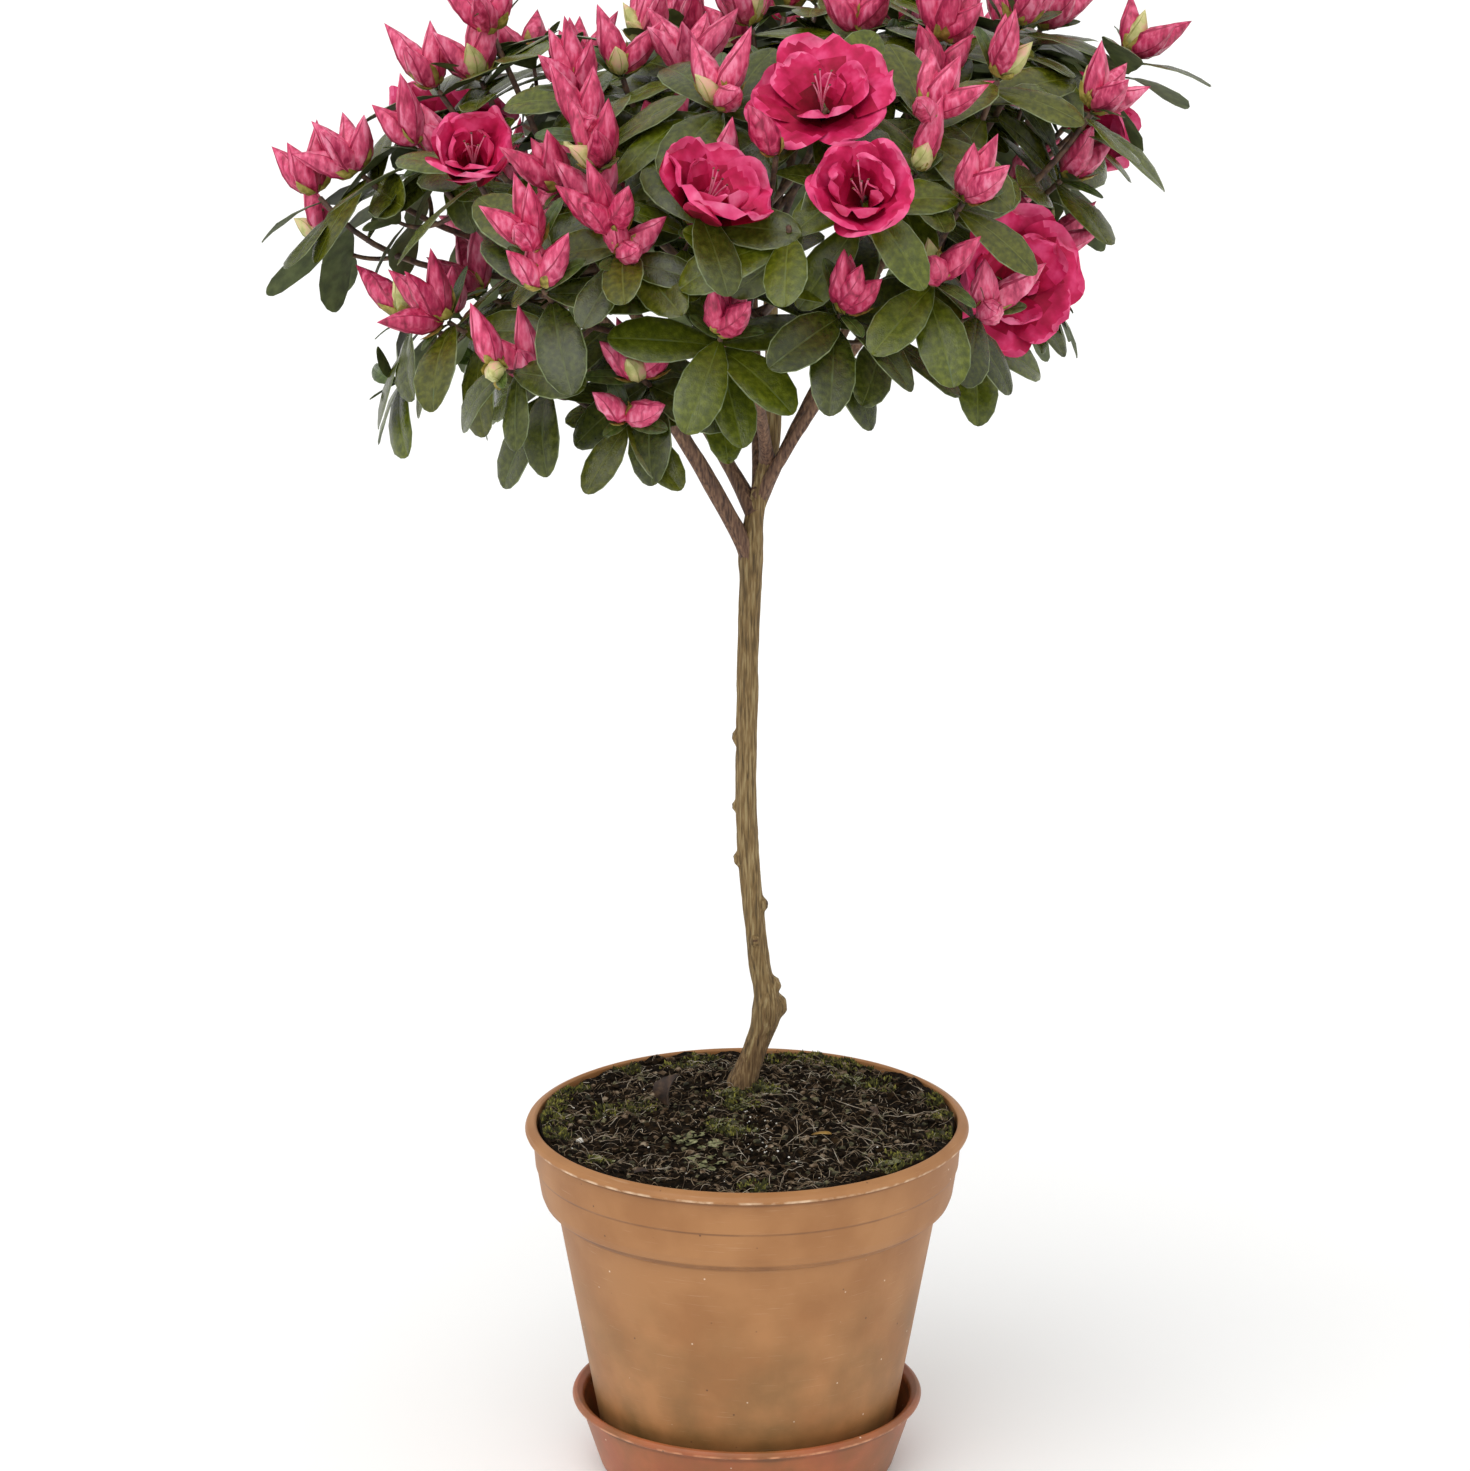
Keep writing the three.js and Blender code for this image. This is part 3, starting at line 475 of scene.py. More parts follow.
# Petals rolled in the bud: satin, with fine lengthwise streaks. The darker seam finishes are painted shade
# in the step under each petal's edge.
BUD_TINTS = [
    ("rose", "#A01844", "#D6446F", "#EC7E9F"),
    ("pink", "#AA2550", "#DE537B", "#F28CAA"),
    ("crimson", "#8A1038", "#C6335F", "#E2688B"),
]
BUD_FINISHES = []
for tint, low, middle, high in BUD_TINTS:
    BUD_FINISHES += [
        grained(f"azalea_bud_{tint}", (low, middle, high), 2.5 * MM, 0.42, 0.25 * MM, stretch=(1, 1, 3)),
        grained(f"azalea_bud_seam_shade_{tint}", ("#8C1438", "#A8264E", low), 4 * MM, 0.55, 0.05 * MM),
    ]
# The green buds come after those
BUD_FINISHES += [
    grained("azalea_bud_unripe", ("#A9AE62", "#CFCB8A", "#E2B79A"), 5 * MM, 0.5, 0.08 * MM),
    grained("azalea_bud_seam_shade_unripe", ("#8A8A48", "#A5A25C", "#B9B070"), 4 * MM, 0.55, 0.05 * MM),
]
# Open petals: thin and silky. Going out from the root they take the throat, deep, body and rim finishes:
# partly the petal's own colour, crimson at the throat, and partly painted shade deep in the cup and painted
# light at the rim.
PETAL_BODY = grained("azalea_petal", ("#A60A3E", "#C81E58", "#E0487E"), 9 * MM, 0.6, 0.15 * MM,
                     Specular_IOR_Level=0.25)
PETAL_RIM_LIT = grained("azalea_petal_rim_lit", ("#D03068", "#E04E80", "#EC769E"), 8 * MM, 0.6, 0.1 * MM,
                    Specular_IOR_Level=0.25)
PETAL_DEEP_SHADED = grained("azalea_petal_deep_shaded", ("#8E022C", "#A20638", "#B8184C"), 6 * MM, 0.6, 0.12 * MM,
                     Specular_IOR_Level=0.2)
PETAL_THROAT_SHADED = grained("azalea_petal_throat_shaded", ("#5C0012", "#74021C", "#8A0628"), 5 * MM, 0.6, 0.1 * MM,
                       Specular_IOR_Level=0.2)
FILAMENT = grained("azalea_filament", ("#D8648A", "#E88AA6", "#F2B0C2"), 5 * MM, 0.5, 0.02 * MM)
ANTHER = grained("azalea_anther", ("#4A2A24", "#6A4030", "#8A6040"), 2 * MM, 0.7, 0.05 * MM)

# Potting mix: sphagnum peat, damp and nearly black, so that it hardly shines
PEAT = grained("peat", ("#090501", "#150E07", "#2A1E11"), 2.2 * MM, 1, 1.2 * MM,
               Specular_IOR_Level=0.1)
PEAT_LUMP = grained("peat_lump", ("#0F0904", "#21170C", "#3A2B1A"), 3 * MM, 1, 0.6 * MM,
                    Specular_IOR_Level=0.1)
PEAT_CHIP = grained("peat_chip", ("#382A1A", "#665442", "#9A8A74"), 3 * MM, 1, 0.4 * MM,
                    Specular_IOR_Level=0.1)
PEAT_ALGAE = grained("peat_green_film", ("#1C1A0A", "#3E3A22", "#6E6848"), 2.5 * MM, 0.9, 0.4 * MM)
# Fine roots: damp and brown, or dried and pale
FIBRE = grained("root_fibre", ("#2E2216", "#66533C", "#A08C70"), 5 * MM, 0.9, 0.1 * MM)
PALE_FIBRE = grained("root_fibre_dry", ("#7A6A54", "#A49480", "#D2C8B4"), 6 * MM, 0.8, 0.1 * MM)
# Moss: dark green cushions with fresh tips, and dull leathery liverwort
MOSS = grained("moss", ("#1E1E08", "#38380F", "#5A5822"), 4 * MM, 0.9, 0.2 * MM)
MOSS_TIP = grained("moss_fresh", ("#4C4A16", "#74702A", "#9C9844"), 4 * MM, 0.9, 0.2 * MM)
LIVERWORT = grained("liverwort", ("#464628", "#6E6E46", "#9C9A72"), 3 * MM, 0.8, 0.3 * MM)
# Perlite: heated volcanic glass, white and chalky
PERLITE = grained("perlite", ("#C9C3B6", "#E6E1D6", "#F5F2EC"), 2 * MM, 0.9, 0.3 * MM)
# Fallen leaves: dried, brown or yellow
DEAD_LEAF = grained("fallen_leaf", ("#20140C", "#3A271A", "#5C4632"), 4 * MM, 0.7, 0.2 * MM)
YELLOW_LEAF = grained("fallen_leaf_yellow", ("#6A4C18", "#94702A", "#B8944E"), 4 * MM, 0.7, 0.2 * MM)

# Creases of the pot, darkened with painted shade and some dirt: height, half the width, and how strong the
# painted shade and dirt are
POT_SHADED_CREASES = [
    (BAND_TOP - 0.9 * MM, 1.2 * MM, 0.6), (BAND_STEP + 0.2 * MM, 0.7 * MM, 0.55),
    (BODY_TOP - 0.3 * MM, 2.4 * MM, 0.55),
]
POT_PLASTIC = pot_finish("polypropylene_clay_tan", ("#9B6839", "#A97646", "#DDBE9C"), "#74562C",
                         BAND_TOP + 0.7 * MM, POT_SHADED_CREASES, 0.55)
# The saucer's crease under its lip is darkened the same way: painted shade with some dirt
SAUCER_PLASTIC = pot_finish("polypropylene_clay_red", ("#96502E", "#AA5F36", "#CC9068"), "#7E5228",
                            SAUCER_HEIGHT - 2.6 * MM, [(SAUCER_HEIGHT - 4.6 * MM, 1.6 * MM, 0.7)], 0.45)


# Pot and saucer


def rounded(profile):
    """A profile of [radius, height] with each inner corner replaced by an arc, and with a point on
    either side of it that keeps the shading of the straight parts straight"""
    profile = np.array(profile, float)
    points = [profile[0]]
    for before, corner, after in zip(profile, profile[1:], profile[2:]):
        back, on = before - corner, after - corner
        reach = min(EDGE_ROUNDING, 0.3 * np.linalg.norm(back), 0.3 * np.linalg.norm(on))
        back, on = unit(back) * reach, unit(on) * reach
        points.append(corner + 1.5 * back)
        points.extend(bezier(corner + back, corner, corner + on, t) for t in (0, 0.25, 0.5, 0.75, 1))
        points.append(corner + 1.5 * on)
    points.append(profile[-1])
    return np.array(points)


def turned(profile):
    """The surface of a profile turned about the Z axis, on which its first and last points lie"""
    radius, height = profile[1:-1].T[:, :, None]
    turn = np.linspace(0, 2 * math.pi, ROUND_SEGMENTS, endpoint=False)
    ring = np.stack([radius * np.cos(turn), radius * np.sin(turn), height + 0 * turn], -1)
    ends = [np.array([[0, 0, height]]) for height in (profile[0][1], profile[-1][1])]
    return loft(ring[None], *ends)


def pot():
    """The pot's wall turned about its axis: a tapered body, a shouldered band and a rolled lip"""
    rim, wall = POT_RIM_RADIUS, POT_WALL
    return turned(rounded([
        (0, POT_FLOOR),
        (POT_BASE_RADIUS - 2 * MM, POT_FLOOR),
        (POT_BASE_RADIUS, POT_FLOOR + 2 * MM),
        (POT_BODY_TOP_RADIUS, BODY_TOP),
        (rim - 8.2 * MM, BODY_TOP + 2 * MM),
        (rim - 6.8 * MM, BAND_FOOT + 1 * MM),
        (rim - 5 * MM, BAND_STEP),
        (rim - 4.4 * MM, BAND_STEP + 0.9 * MM),
        (rim - 3.2 * MM, BAND_TOP),
        (rim - 0.4 * MM, BAND_TOP + 0.2 * MM),
        (rim, BAND_TOP + 1.2 * MM),
        (rim - 0.8 * MM, POT_RIM_HEIGHT - 1.5 * MM),
        (rim - 3.8 * MM, POT_RIM_HEIGHT),
        (rim - 4.9 * MM, POT_RIM_HEIGHT - 0.7 * MM),
        (rim - 4.4 * MM - wall, BAND_STEP + 0.9 * MM),
        (rim - 6.8 * MM - wall, BAND_FOOT),
        (rim - 10 * MM - wall, BODY_TOP - 1 * MM),
        (POT_BODY_TOP_RADIUS - wall, BODY_TOP - 2 * MM),
        (POT_BASE_RADIUS - wall, POT_FLOOR + 2 * MM + wall),
        (POT_BASE_RADIUS - wall - 1.6 * MM, POT_FLOOR + wall),
        (0, POT_FLOOR + wall),
    ]))


def saucer():
    """The saucer's wall turned about its axis: a level dish with a rolled lip"""
    rim, base, wall = SAUCER_RIM_RADIUS, SAUCER_BASE_RADIUS, SAUCER_WALL
    wall_top = rim - 3.2 * MM
    return turned(rounded([
        (0, 0),
        (base - 2.5 * MM, 0),
        (base - 0.6 * MM, 1 * MM),
        (base + 0.6 * MM, 3.2 * MM),
        (wall_top, SAUCER_HEIGHT - 4.2 * MM),
        (rim - 0.4 * MM, SAUCER_HEIGHT - 3 * MM),
        (rim, SAUCER_HEIGHT - 1.8 * MM),
        (rim - 0.7 * MM, SAUCER_HEIGHT - 0.4 * MM),
        (rim - 2 * MM, SAUCER_HEIGHT),
        (wall_top - wall, SAUCER_HEIGHT - 1.6 * MM),
        (base + 0.6 * MM - wall, 3.4 * MM),
        (base - 2.5 * MM, wall),
        (0, wall),
    ]))


add_piece("pot_shell", pot(), [POT_PLASTIC], ["pot"])
add_piece("saucer_dish", saucer(), [SAUCER_PLASTIC], ["saucer"])


# Potting mix

MIX_GRAIN = ((14 * MM, 1.5 * MM), (5 * MM, 1.3 * MM), (2.3 * MM, 0.8 * MM))  # size and depth of lumps
MIX_BANK = 3 * MM  # how much higher the mix lies against the pot, here and there
CRUMBS = 5200
# Moss: x, y and radius in mm of each cushion
MOSS_CUSHIONS = [
    (-83, 30, 7), (-85, 18, 7), (-84, 2, 8), (-82, -18, 7), (-76, 42, 7), (-58, 10, 9), (-46, 12, 8),
    (-28, 68, 8), (-19, 77, 7), (-52, 66, 6), (17, 79, 9), (31, 77, 9), (46, 72, 9), (45, 50, 8),
    (56, 46, 8), (84, 27, 7), (86, 8, 7), (84, -14, 7), (58, -58, 9), (67, -44, 8), (-9, 18, 7),
    (7, 24, 7), (-3, 5, 8), (3, -77, 6), (-12, -15, 6), (-3, -22, 7), (-62, -47, 5),
]
MOSS_SHOOTS = 240
# Long pale roots: x and y in mm, heading in degrees, length in mm, and how far they curl
LONG_ROOTS = [
    (-80, 4, 38, 17, 0.2), (14, -36, 58, 28, -0.3), (35, 11, -79, 48, 0.4), (21, -28, 84, 18, 0.3),
    (-67, -24, 60, 11, -2.2), (-5, -74, 70, 13, -1.6), (50, -34, 20, 16, 4.5), (30, 20, -40, 34, 0.5),
]
PERLITE_IN_FRONT = 60
PERLITE_ELSEWHERE = 70
PERLITE_SQUARE = (6, -24, 14, 40)  # x, y, width and depth in mm
LARGE_GRAIN = (-71, -24, 1.5)  # x, y and radius in mm
# Liverwort: x, y and radius in mm of each patch, and how many lobes it has
LIVERWORT_PATCHES = [
    (-9, 19, 6, 12), (6, 24, 6, 12), (-3, 6, 8, 16), (-12, -14, 5, 8), (-3, -21, 6, 10), (-25, -28, 6, 16),
    (-16, -36, 5, 12), (-17, -52, 7, 18), (-62, -47, 4, 7), (60, -54, 6, 8), (46, 50, 6, 8),
]


def mix_rise(share):
    """How far a ring of the mix has closed in on the stem's foot, from 0 at the pot to 1"""
    return np.clip((1 - share) / (1 - MOUND_SEAT_RADIUS / MIX_EDGE_RADIUS), 0, 1)


def mix_relief(x, y):
    """Lumps of the mix: noise of three sizes added up, and a bank against the pot"""
    lumpy = sum(depth * noise(x / size, y / size, 300 + n) for n, (size, depth) in enumerate(MIX_GRAIN))
    edge = smooth(np.hypot(x, y) / MIX_EDGE_RADIUS, 0.8, 0.97)
    return lumpy + MIX_BANK * edge * (0.5 + 0.5 * noise(x / (30 * MM), y / (30 * MM), 304))


def mix_height(x, y):
    """Height of the mix's top at a place. Its ring is found by closing in on it."""
    share = np.hypot(x, y) / MIX_EDGE_RADIUS
    for _ in range(20):
        near = mix_rise(share)
        share = np.hypot(x - FOOT[0] * near, y - FOOT[1] * near) / MIX_EDGE_RADIUS
    rise = smooth(mix_rise(share), 0, 1)
    return MIX_EDGE_HEIGHT + rise * (FOOT[2] - CLEARANCE - MIX_EDGE_HEIGHT) + mix_relief(x, y)


def mound():
    """The mix's top as rings that close in on the stem's foot as they rise to it, on a flat body"""
    share = np.linspace(1, 0.004, 100)[:, None]
    turn = np.linspace(0, 2 * math.pi, 300, endpoint=False)
    near = mix_rise(share)
    x = share * MIX_EDGE_RADIUS * np.cos(turn) + FOOT[0] * near
    y = share * MIX_EDGE_RADIUS * np.sin(turn) + FOOT[1] * near
    top = np.stack([x, y, mix_height(x, y)], -1)
    skirt = top[:1].copy()
    skirt[..., 2] = MIX_UNDERSIDE
    rings = np.concatenate([skirt, top])[None]
    middle = top[-1].mean(0)[None]
    return loft(rings, np.array([[0, 0, MIX_UNDERSIDE]]), middle)


def on_mix(count, seed):
    """Places spread evenly over the mix: the radius grows as the square root of a seeded number"""
    i = np.arange(count)
    radius = (MIX_EDGE_RADIUS - 2 * MM) * np.sqrt(chance(i, seed))
    turn = 2 * math.pi * chance(i, seed + 1)
    x, y = radius * np.cos(turn), radius * np.sin(turn)
    return np.stack([x, y, mix_height(x, y)], -1)


def lumps(middle, size, seed, finish=0):
    """Rough grains: two rings of five corners between two points, each corner moved at random"""
    count = len(middle)
    i = np.arange(count)[:, None, None]
    ring = np.array([0, 1])[None, :, None]
    corner = np.arange(5)[None, None]
    code = ring * 5 + corner
    turn = corner * (2 * math.pi / 5) + ring * 0.6 + 1.2 * chance(i, seed + code)
    radius = size[:, None, None] * (0.7 + 0.5 * chance(i, seed + 20 + code))
    height = size[:, None, None] * ((ring - 0.5) * 0.7 + 0.3 * (chance(i, seed + 40 + code) - 0.5))
    rings = np.stack([radius * np.cos(turn), radius * np.sin(turn), height], -1) + middle[:, None, None]
    reach = size[:, None] * UP * 0.75
    return loft(rings, middle - reach, middle + reach, finish, finish)


def strands(root, turn, length, bend, lift, radius, finish):
    """Thin fibres that lie on the mix. Each leaves its root at angle turn, curls by bend over its
    length, and rises by lift in its middle."""
    t = np.linspace(0, 1, 8)[None]
    heading = turn[:, None] + bend[:, None] * t
    step = length[:, None] / 7
    x = root[:, :1] + np.cumsum(np.cos(heading), 1) * step
    y = root[:, 1:2] + np.cumsum(np.sin(heading), 1) * step
    reach = np.maximum(1, np.hypot(x, y) / (MIX_EDGE_RADIUS - 1 * MM))
    x, y = x / reach, y / reach
    z = mix_height(x, y) + 0.35 * MM + lift[:, None] * np.sin(math.pi * t)
    thickness = radius[:, None] * (1 - 0.5 * t)
    return rods(np.stack([x, y, z], -1), thickness, 4, finish)


def fibres(count, seed, length, radius, finish):
    """Fine roots scattered over the mix, each with its own length, curl and rise"""
    i = np.arange(count)
    return strands(
        on_mix(count, seed), 6.28 * chance(i, seed + 2), between(length, i, seed + 3),
        3 * (chance(i, seed + 4) - 0.5), 2.2 * MM * chance(i, seed + 5) ** 2,
        between(radius, i, seed + 6), finish,
    )


def long_roots():
    """The roots in LONG_ROOTS, all pale and equally thick"""
    x, y, heading, length, bend = np.array(LONG_ROOTS).T
    none = 0 * length
    return strands(
        np.column_stack([x, y]) * MM, np.radians(heading), length * MM, bend, none + 0.8 * MM,
        none + 0.2 * MM, 1,
    )


def patches(rows, counts, seed):
    """Places gathered in round patches, with the way that each lies from its patch's middle"""
    owner = np.repeat(np.arange(len(rows)), counts)
    i = np.arange(len(owner))
    radius = rows[owner, 2] * MM * np.sqrt(chance(i, seed)) * (0.6 + 0.7 * chance(i, seed + 1))
    turn = 6.28 * chance(i, seed + 2)
    out = np.stack([np.cos(turn), np.sin(turn)], -1)
    place = rows[owner, :2] * MM + out * radius[:, None]
    place /= np.maximum(1, np.hypot(*place.T) / (MIX_EDGE_RADIUS - 1.5 * MM))[:, None]
    return i, np.column_stack([place, mix_height(*place.T)]), out


def moss():
    """Short pointed shoots that stand close together in cushions and lean outwards"""
    rows = np.array(MOSS_CUSHIONS)
    i, foot, out = patches(rows, MOSS_SHOOTS, 500)
    lean = np.column_stack([out * chance(i, 503)[:, None], np.ones(len(i))])
    tall = (1 + 1.6 * chance(i, 504)) * MM
    run = unit(lean) * tall[:, None]
    points = foot[:, None] - UP * 0.5 * MM + run[:, None] * np.array([0, 0.5, 1])[:, None]
    thickness = np.array([0.3, 0.5, 0.12])[None] * MM * (0.8 + 0.6 * chance(i, 505))[:, None]
    return rods(points, thickness, 3, (chance(i, 506) < 0.28).astype(int)[:, None, None])


def liverwort():
    """Flat lobes that overlap like scales: a wavy rim about a lower middle, tilted any way"""
    rows = np.array(LIVERWORT_PATCHES)
    i, middle, out = patches(rows, rows[:, 3].astype(int), 520)
    size = (1.2 + 1.6 * chance(i, 523)) * MM
    turn = np.arange(9) * (2 * math.pi / 9)
    radius = size[:, None, None] * np.array([1.0, 0.55])[None, :, None]
    radius = radius * (1 + 0.3 * np.sin(3 * turn + 6 * chance(i, 524)[:, None, None]))
    tilt = 0.7 * (chance(i, 525) - 0.5)[:, None, None] * np.cos(turn)
    height = radius * tilt + np.array([0.7, 0.5])[None, :, None] * MM
    rings = np.stack([radius * np.cos(turn), radius * np.sin(turn), height], -1) + middle[:, None, None]
    return loft(rings, middle - UP * 0.2 * MM, middle + UP * 0.45 * MM)


def crumbs():
    """Grains of peat from 0.45 to 2 mm, most of them small and dark"""
    i = np.arange(CRUMBS)
    size = (0.45 + 1.5 * chance(i, 410) ** 2) * MM
    kind = np.floor(4 * chance(i, 411) ** 2.1).astype(int)[:, None, None]
    return lumps(on_mix(CRUMBS, 400), size, 420, kind)


def perlite():
    """Grit that lies thickest in a square in front of the stem, and one large grain, which is last"""
    i = np.arange(PERLITE_IN_FRONT + PERLITE_ELSEWHERE)
    aside = np.column_stack([chance(i, 484), chance(i, 485)]) - 0.5
    near = (np.array(PERLITE_SQUARE[:2]) + aside * PERLITE_SQUARE[2:]) * MM
    gathered = np.column_stack([near, mix_height(*near.T)])
    place = np.where((i < PERLITE_IN_FRONT)[:, None], gathered, on_mix(len(i), 480)) + UP * 0.3 * MM
    size = (0.2 + 0.3 * chance(i, 486)) * MM
    x, y, size[-1] = np.array(LARGE_GRAIN) * MM
    place[-1] = x, y, mix_height(x, y) + 1 * MM
    return lumps(place, size, 490)


def mix_pieces():
    """The mix's top and all that lies or grows on it"""
    add_piece("peat_mound", mound(), [PEAT], ["potting_mix"])
    add_piece("peat_crumbs", crumbs(), [PEAT, PEAT_LUMP, PEAT_ALGAE, PEAT_CHIP])
    add_piece("root_fibres", joined([
        fibres(1300, 440, (3 * MM, 8 * MM), (0.08 * MM, 0.12 * MM), 0),
        fibres(420, 460, (2 * MM, 10 * MM), (0.07 * MM, 0.1 * MM), 1),
        fibres(30, 470, (12 * MM, 18 * MM), (0.12 * MM, 0.1 * MM), 1),
        long_roots(),
    ]), [FIBRE, PALE_FIBRE])
    add_piece("moss_cushions", moss(), [MOSS, MOSS_TIP])
    add_piece("liverwort_lobes", liverwort(), [LIVERWORT])
    add_piece("perlite_grit", perlite(), [PERLITE])


mix_pieces()


# Stem and boughs

STEM_STEPS = 430
STEM_SIDES = 60
DARK_FOOT_HEIGHT = GRAFT_HEIGHT - 12 * MM
DARK_FOOT_SWING = 16 * MM
BOUGH_RADII = np.array([row[3:] for row in BOUGHS]) * MM
BOUGH_ANGLES = np.array([row[1] for row in BOUGHS], float)
BOUGH_LENGTH = 110 * MM
BOUGH_SIDES = 26


def stem_point(t):
    """The curve through the points of STEM_LINE. Between two points it is a cubic whose slope at
    each is half the step between its neighbours."""
    line = np.insert(STEM_LINE, 1, FOOT[1], axis=1)
    line = np.concatenate([2 * line[:1] - line[1:2], line, 2 * line[-1:] - line[-2:-1]])
    place = np.asarray(t) * (len(STEM_LINE) - 1)
    k = np.clip(np.floor(place).astype(int), 0, len(STEM_LINE) - 2)
    w = (place - k)[..., None]
    p0, p1, p2, p3 = line[k], line[k + 1], line[k + 2], line[k + 3]
    m1, m2 = (p2 - p0) / 2, (p3 - p1) / 2
    return p1 + m1 * w + (3 * (p2 - p1) - 2 * m1 - m2) * w**2 + (2 * (p1 - p2) + m1 + m2) * w**3


def stem_radius(z):
    """STEM_RADIUS up to the fork, thinning above it, with a flared foot and two swellings"""
    flare = 2.1 * MM * np.exp(-(z - FOOT[2]) / (12 * MM))
    graft = 1.5 * MM * np.exp(-(((z - GRAFT_HEIGHT) / (9 * MM)) ** 2))
    fork = 0.7 * MM * np.exp(-(((z - FORK_HEIGHT) / (14 * MM)) ** 2))
    thinning = np.sqrt(np.clip((z - FORK_HEIGHT) / (STEM_LINE[-1, 1] - FORK_HEIGHT), 0, 1))
    return STEM_RADIUS + (LEADER_TIP_RADIUS - STEM_RADIUS) * thinning + flare + graft + fork


DENSE = np.linspace(0, 1, 1500)
DENSE_HEIGHTS = stem_point(DENSE)[:, 2]


def stem_at(height):
    """The curve's share at a height"""
    return np.interp(height, DENSE_HEIGHTS, DENSE)


def bark_relief(turn, run, depth, seed):
    """Strings of bark: noise much longer than wide, wound slightly about the stem, and broad lumps.
    turn is the angle about the stem as a share of a full turn, and run the distance along it."""
    wound = turn + run * 1.6
    strings = noise(wound * 22, run / (9 * MM), seed, 22)
    threads = noise(wound * 46, run / (5 * MM), seed + 1, 46)
    broad = noise(wound * 5, run / (16 * MM), seed + 2, 5)
    return depth * (1.1 * np.abs(strings) ** 0.7 * np.sign(strings) + 0.6 * threads + 1.2 * broad)


def stem():
    """The stem's round surface with bark relief. Each stub is a smooth bump that falls off with the
    cube of the distance from its middle, and is hollow at its end. The bark is darker and browner
    up to an uneven line below the graft."""
    points = stem_point(np.linspace(0, 1, STEM_STEPS))
    points[0, 2] -= 2.5 * MM
    turn = np.arange(STEM_SIDES) / STEM_SIDES
    height = points[:, 2][:, None]
    radius = stem_radius(height) + bark_relief(turn, height, 0.26 * MM, 600)
    kind = np.zeros(radius.shape, int)
    dark_foot_top = DARK_FOOT_HEIGHT + DARK_FOOT_SWING * noise(turn * 30, height / (40 * MM), 640, 30)
    kind[height < dark_foot_top] = 2
    for high, direction, size in STEM_KNOTS:
        # The rods' rings start at the world's Y axis and run about the upward way
        apart = (turn * 360 + 90 - direction + 180) % 360 - 180
        beside = np.radians(apart) * stem_radius(high * MM) / (size * MM)
        above = (height - high * MM) / (1.25 * size * MM)
        away = np.hypot(beside, above)
        radius = radius + size * MM * (np.exp(-1.2 * away**3) - 0.3 * np.exp(-12 * away**2))
        kind[away < 0.36] = 1
    return rods(points[None], radius[None], STEM_SIDES, kind[:-1], 0)


def head_point(angle, reach, height):
    """Points so far out from the middle of the head, in directions in degrees"""
    x = reach * np.cos(np.radians(angle))
    y = reach * np.sin(np.radians(angle))
    return np.stack([HEAD[0] + x, HEAD[1] + y, height + HEAD_TILT * x], -1)


def bough_lines(t):
    """Middle lines of the boughs, (boughs, steps, 3): each bends a little upwards from the stem"""
    start = stem_point(stem_at(np.array([row[2] for row in BOUGHS]) * MM))
    end = head_point(BOUGH_ANGLES, BOUGH_REACH, BOUGH_TIP_HEIGHT)
    knee = start + 0.45 * (end - start)
    knee[:, 2] += 0.06 * (end - start)[:, 2]
    return bezier(start[:, None], knee[:, None], end[:, None], t[None, :, None])


def boughs():
    """The boughs' round surfaces with bark relief, each wider where it leaves the stem"""
    t = np.linspace(0, 1, 80)
    base, tip = BOUGH_RADII[:, :1], BOUGH_RADII[:, 1:]
    radius = base + (tip - base) * t + 1.3 * MM * np.exp(-t * 16)
    turn = np.arange(BOUGH_SIDES) / BOUGH_SIDES
    run = t[:, None] * BOUGH_LENGTH
    relief = np.stack([bark_relief(turn, run + 0.3 * n, 0.16 * MM, 620) for n in range(len(BOUGHS))])
    return rods(bough_lines(t), radius[..., None] + relief, BOUGH_SIDES)


add_piece("stem_bark", stem(), [BARK, CUT_WOOD, FOOT_BARK], ["trunk"])
add_piece("bough_bark", boughs(), [BOUGH_BARK], ["bough_" + row[0] for row in BOUGHS])


# Head: the rule that places every rosette, as for the solids


def outline(a):
    """Radius and height of the head's outline at polar angle a from its top"""
    upper = a < math.pi / 2
    radius = HEAD_RADIUS * np.sin(a) ** np.where(upper, UPPER_FULLNESS, LOWER_FULLNESS)
    return radius, np.cos(a) * np.where(upper, HEAD_RISE, HEAD_DROP)


def angle_at(share):
    """Polar angle above which lies so large a share of the head's surface"""
    a = np.linspace(0, HEAD_LAST_ANGLE, OUTLINE_STEPS + 1)
    radius, height = outline(a)
    bands = (radius[:-1] + radius[1:]) * np.hypot(np.diff(radius), np.diff(height))
    area = np.concatenate([[0], np.cumsum(bands)])
    return np.interp(share * area[-1], area, a)


ANCHORS = np.concatenate([
    [HEAD + UP * TOP_ANCHOR_RISE], head_point(BOUGH_ANGLES, ANCHOR_REACH, HEAD[2]),
])


def depth_in(points, mass):
    """How far points lie inside their masses' spaces: the distance to the nearest wall"""
    own = ANCHORS[mass][:, None]
    apart = ANCHORS[None] - own
    middle = (ANCHORS[None] + own) / 2
    size = np.linalg.norm(apart, axis=-1)
    distance = -np.sum((points[:, None] - middle) * apart, -1) / np.maximum(size, 1e-9)
    return np.where(size < 1e-9, np.inf, distance).min(1)


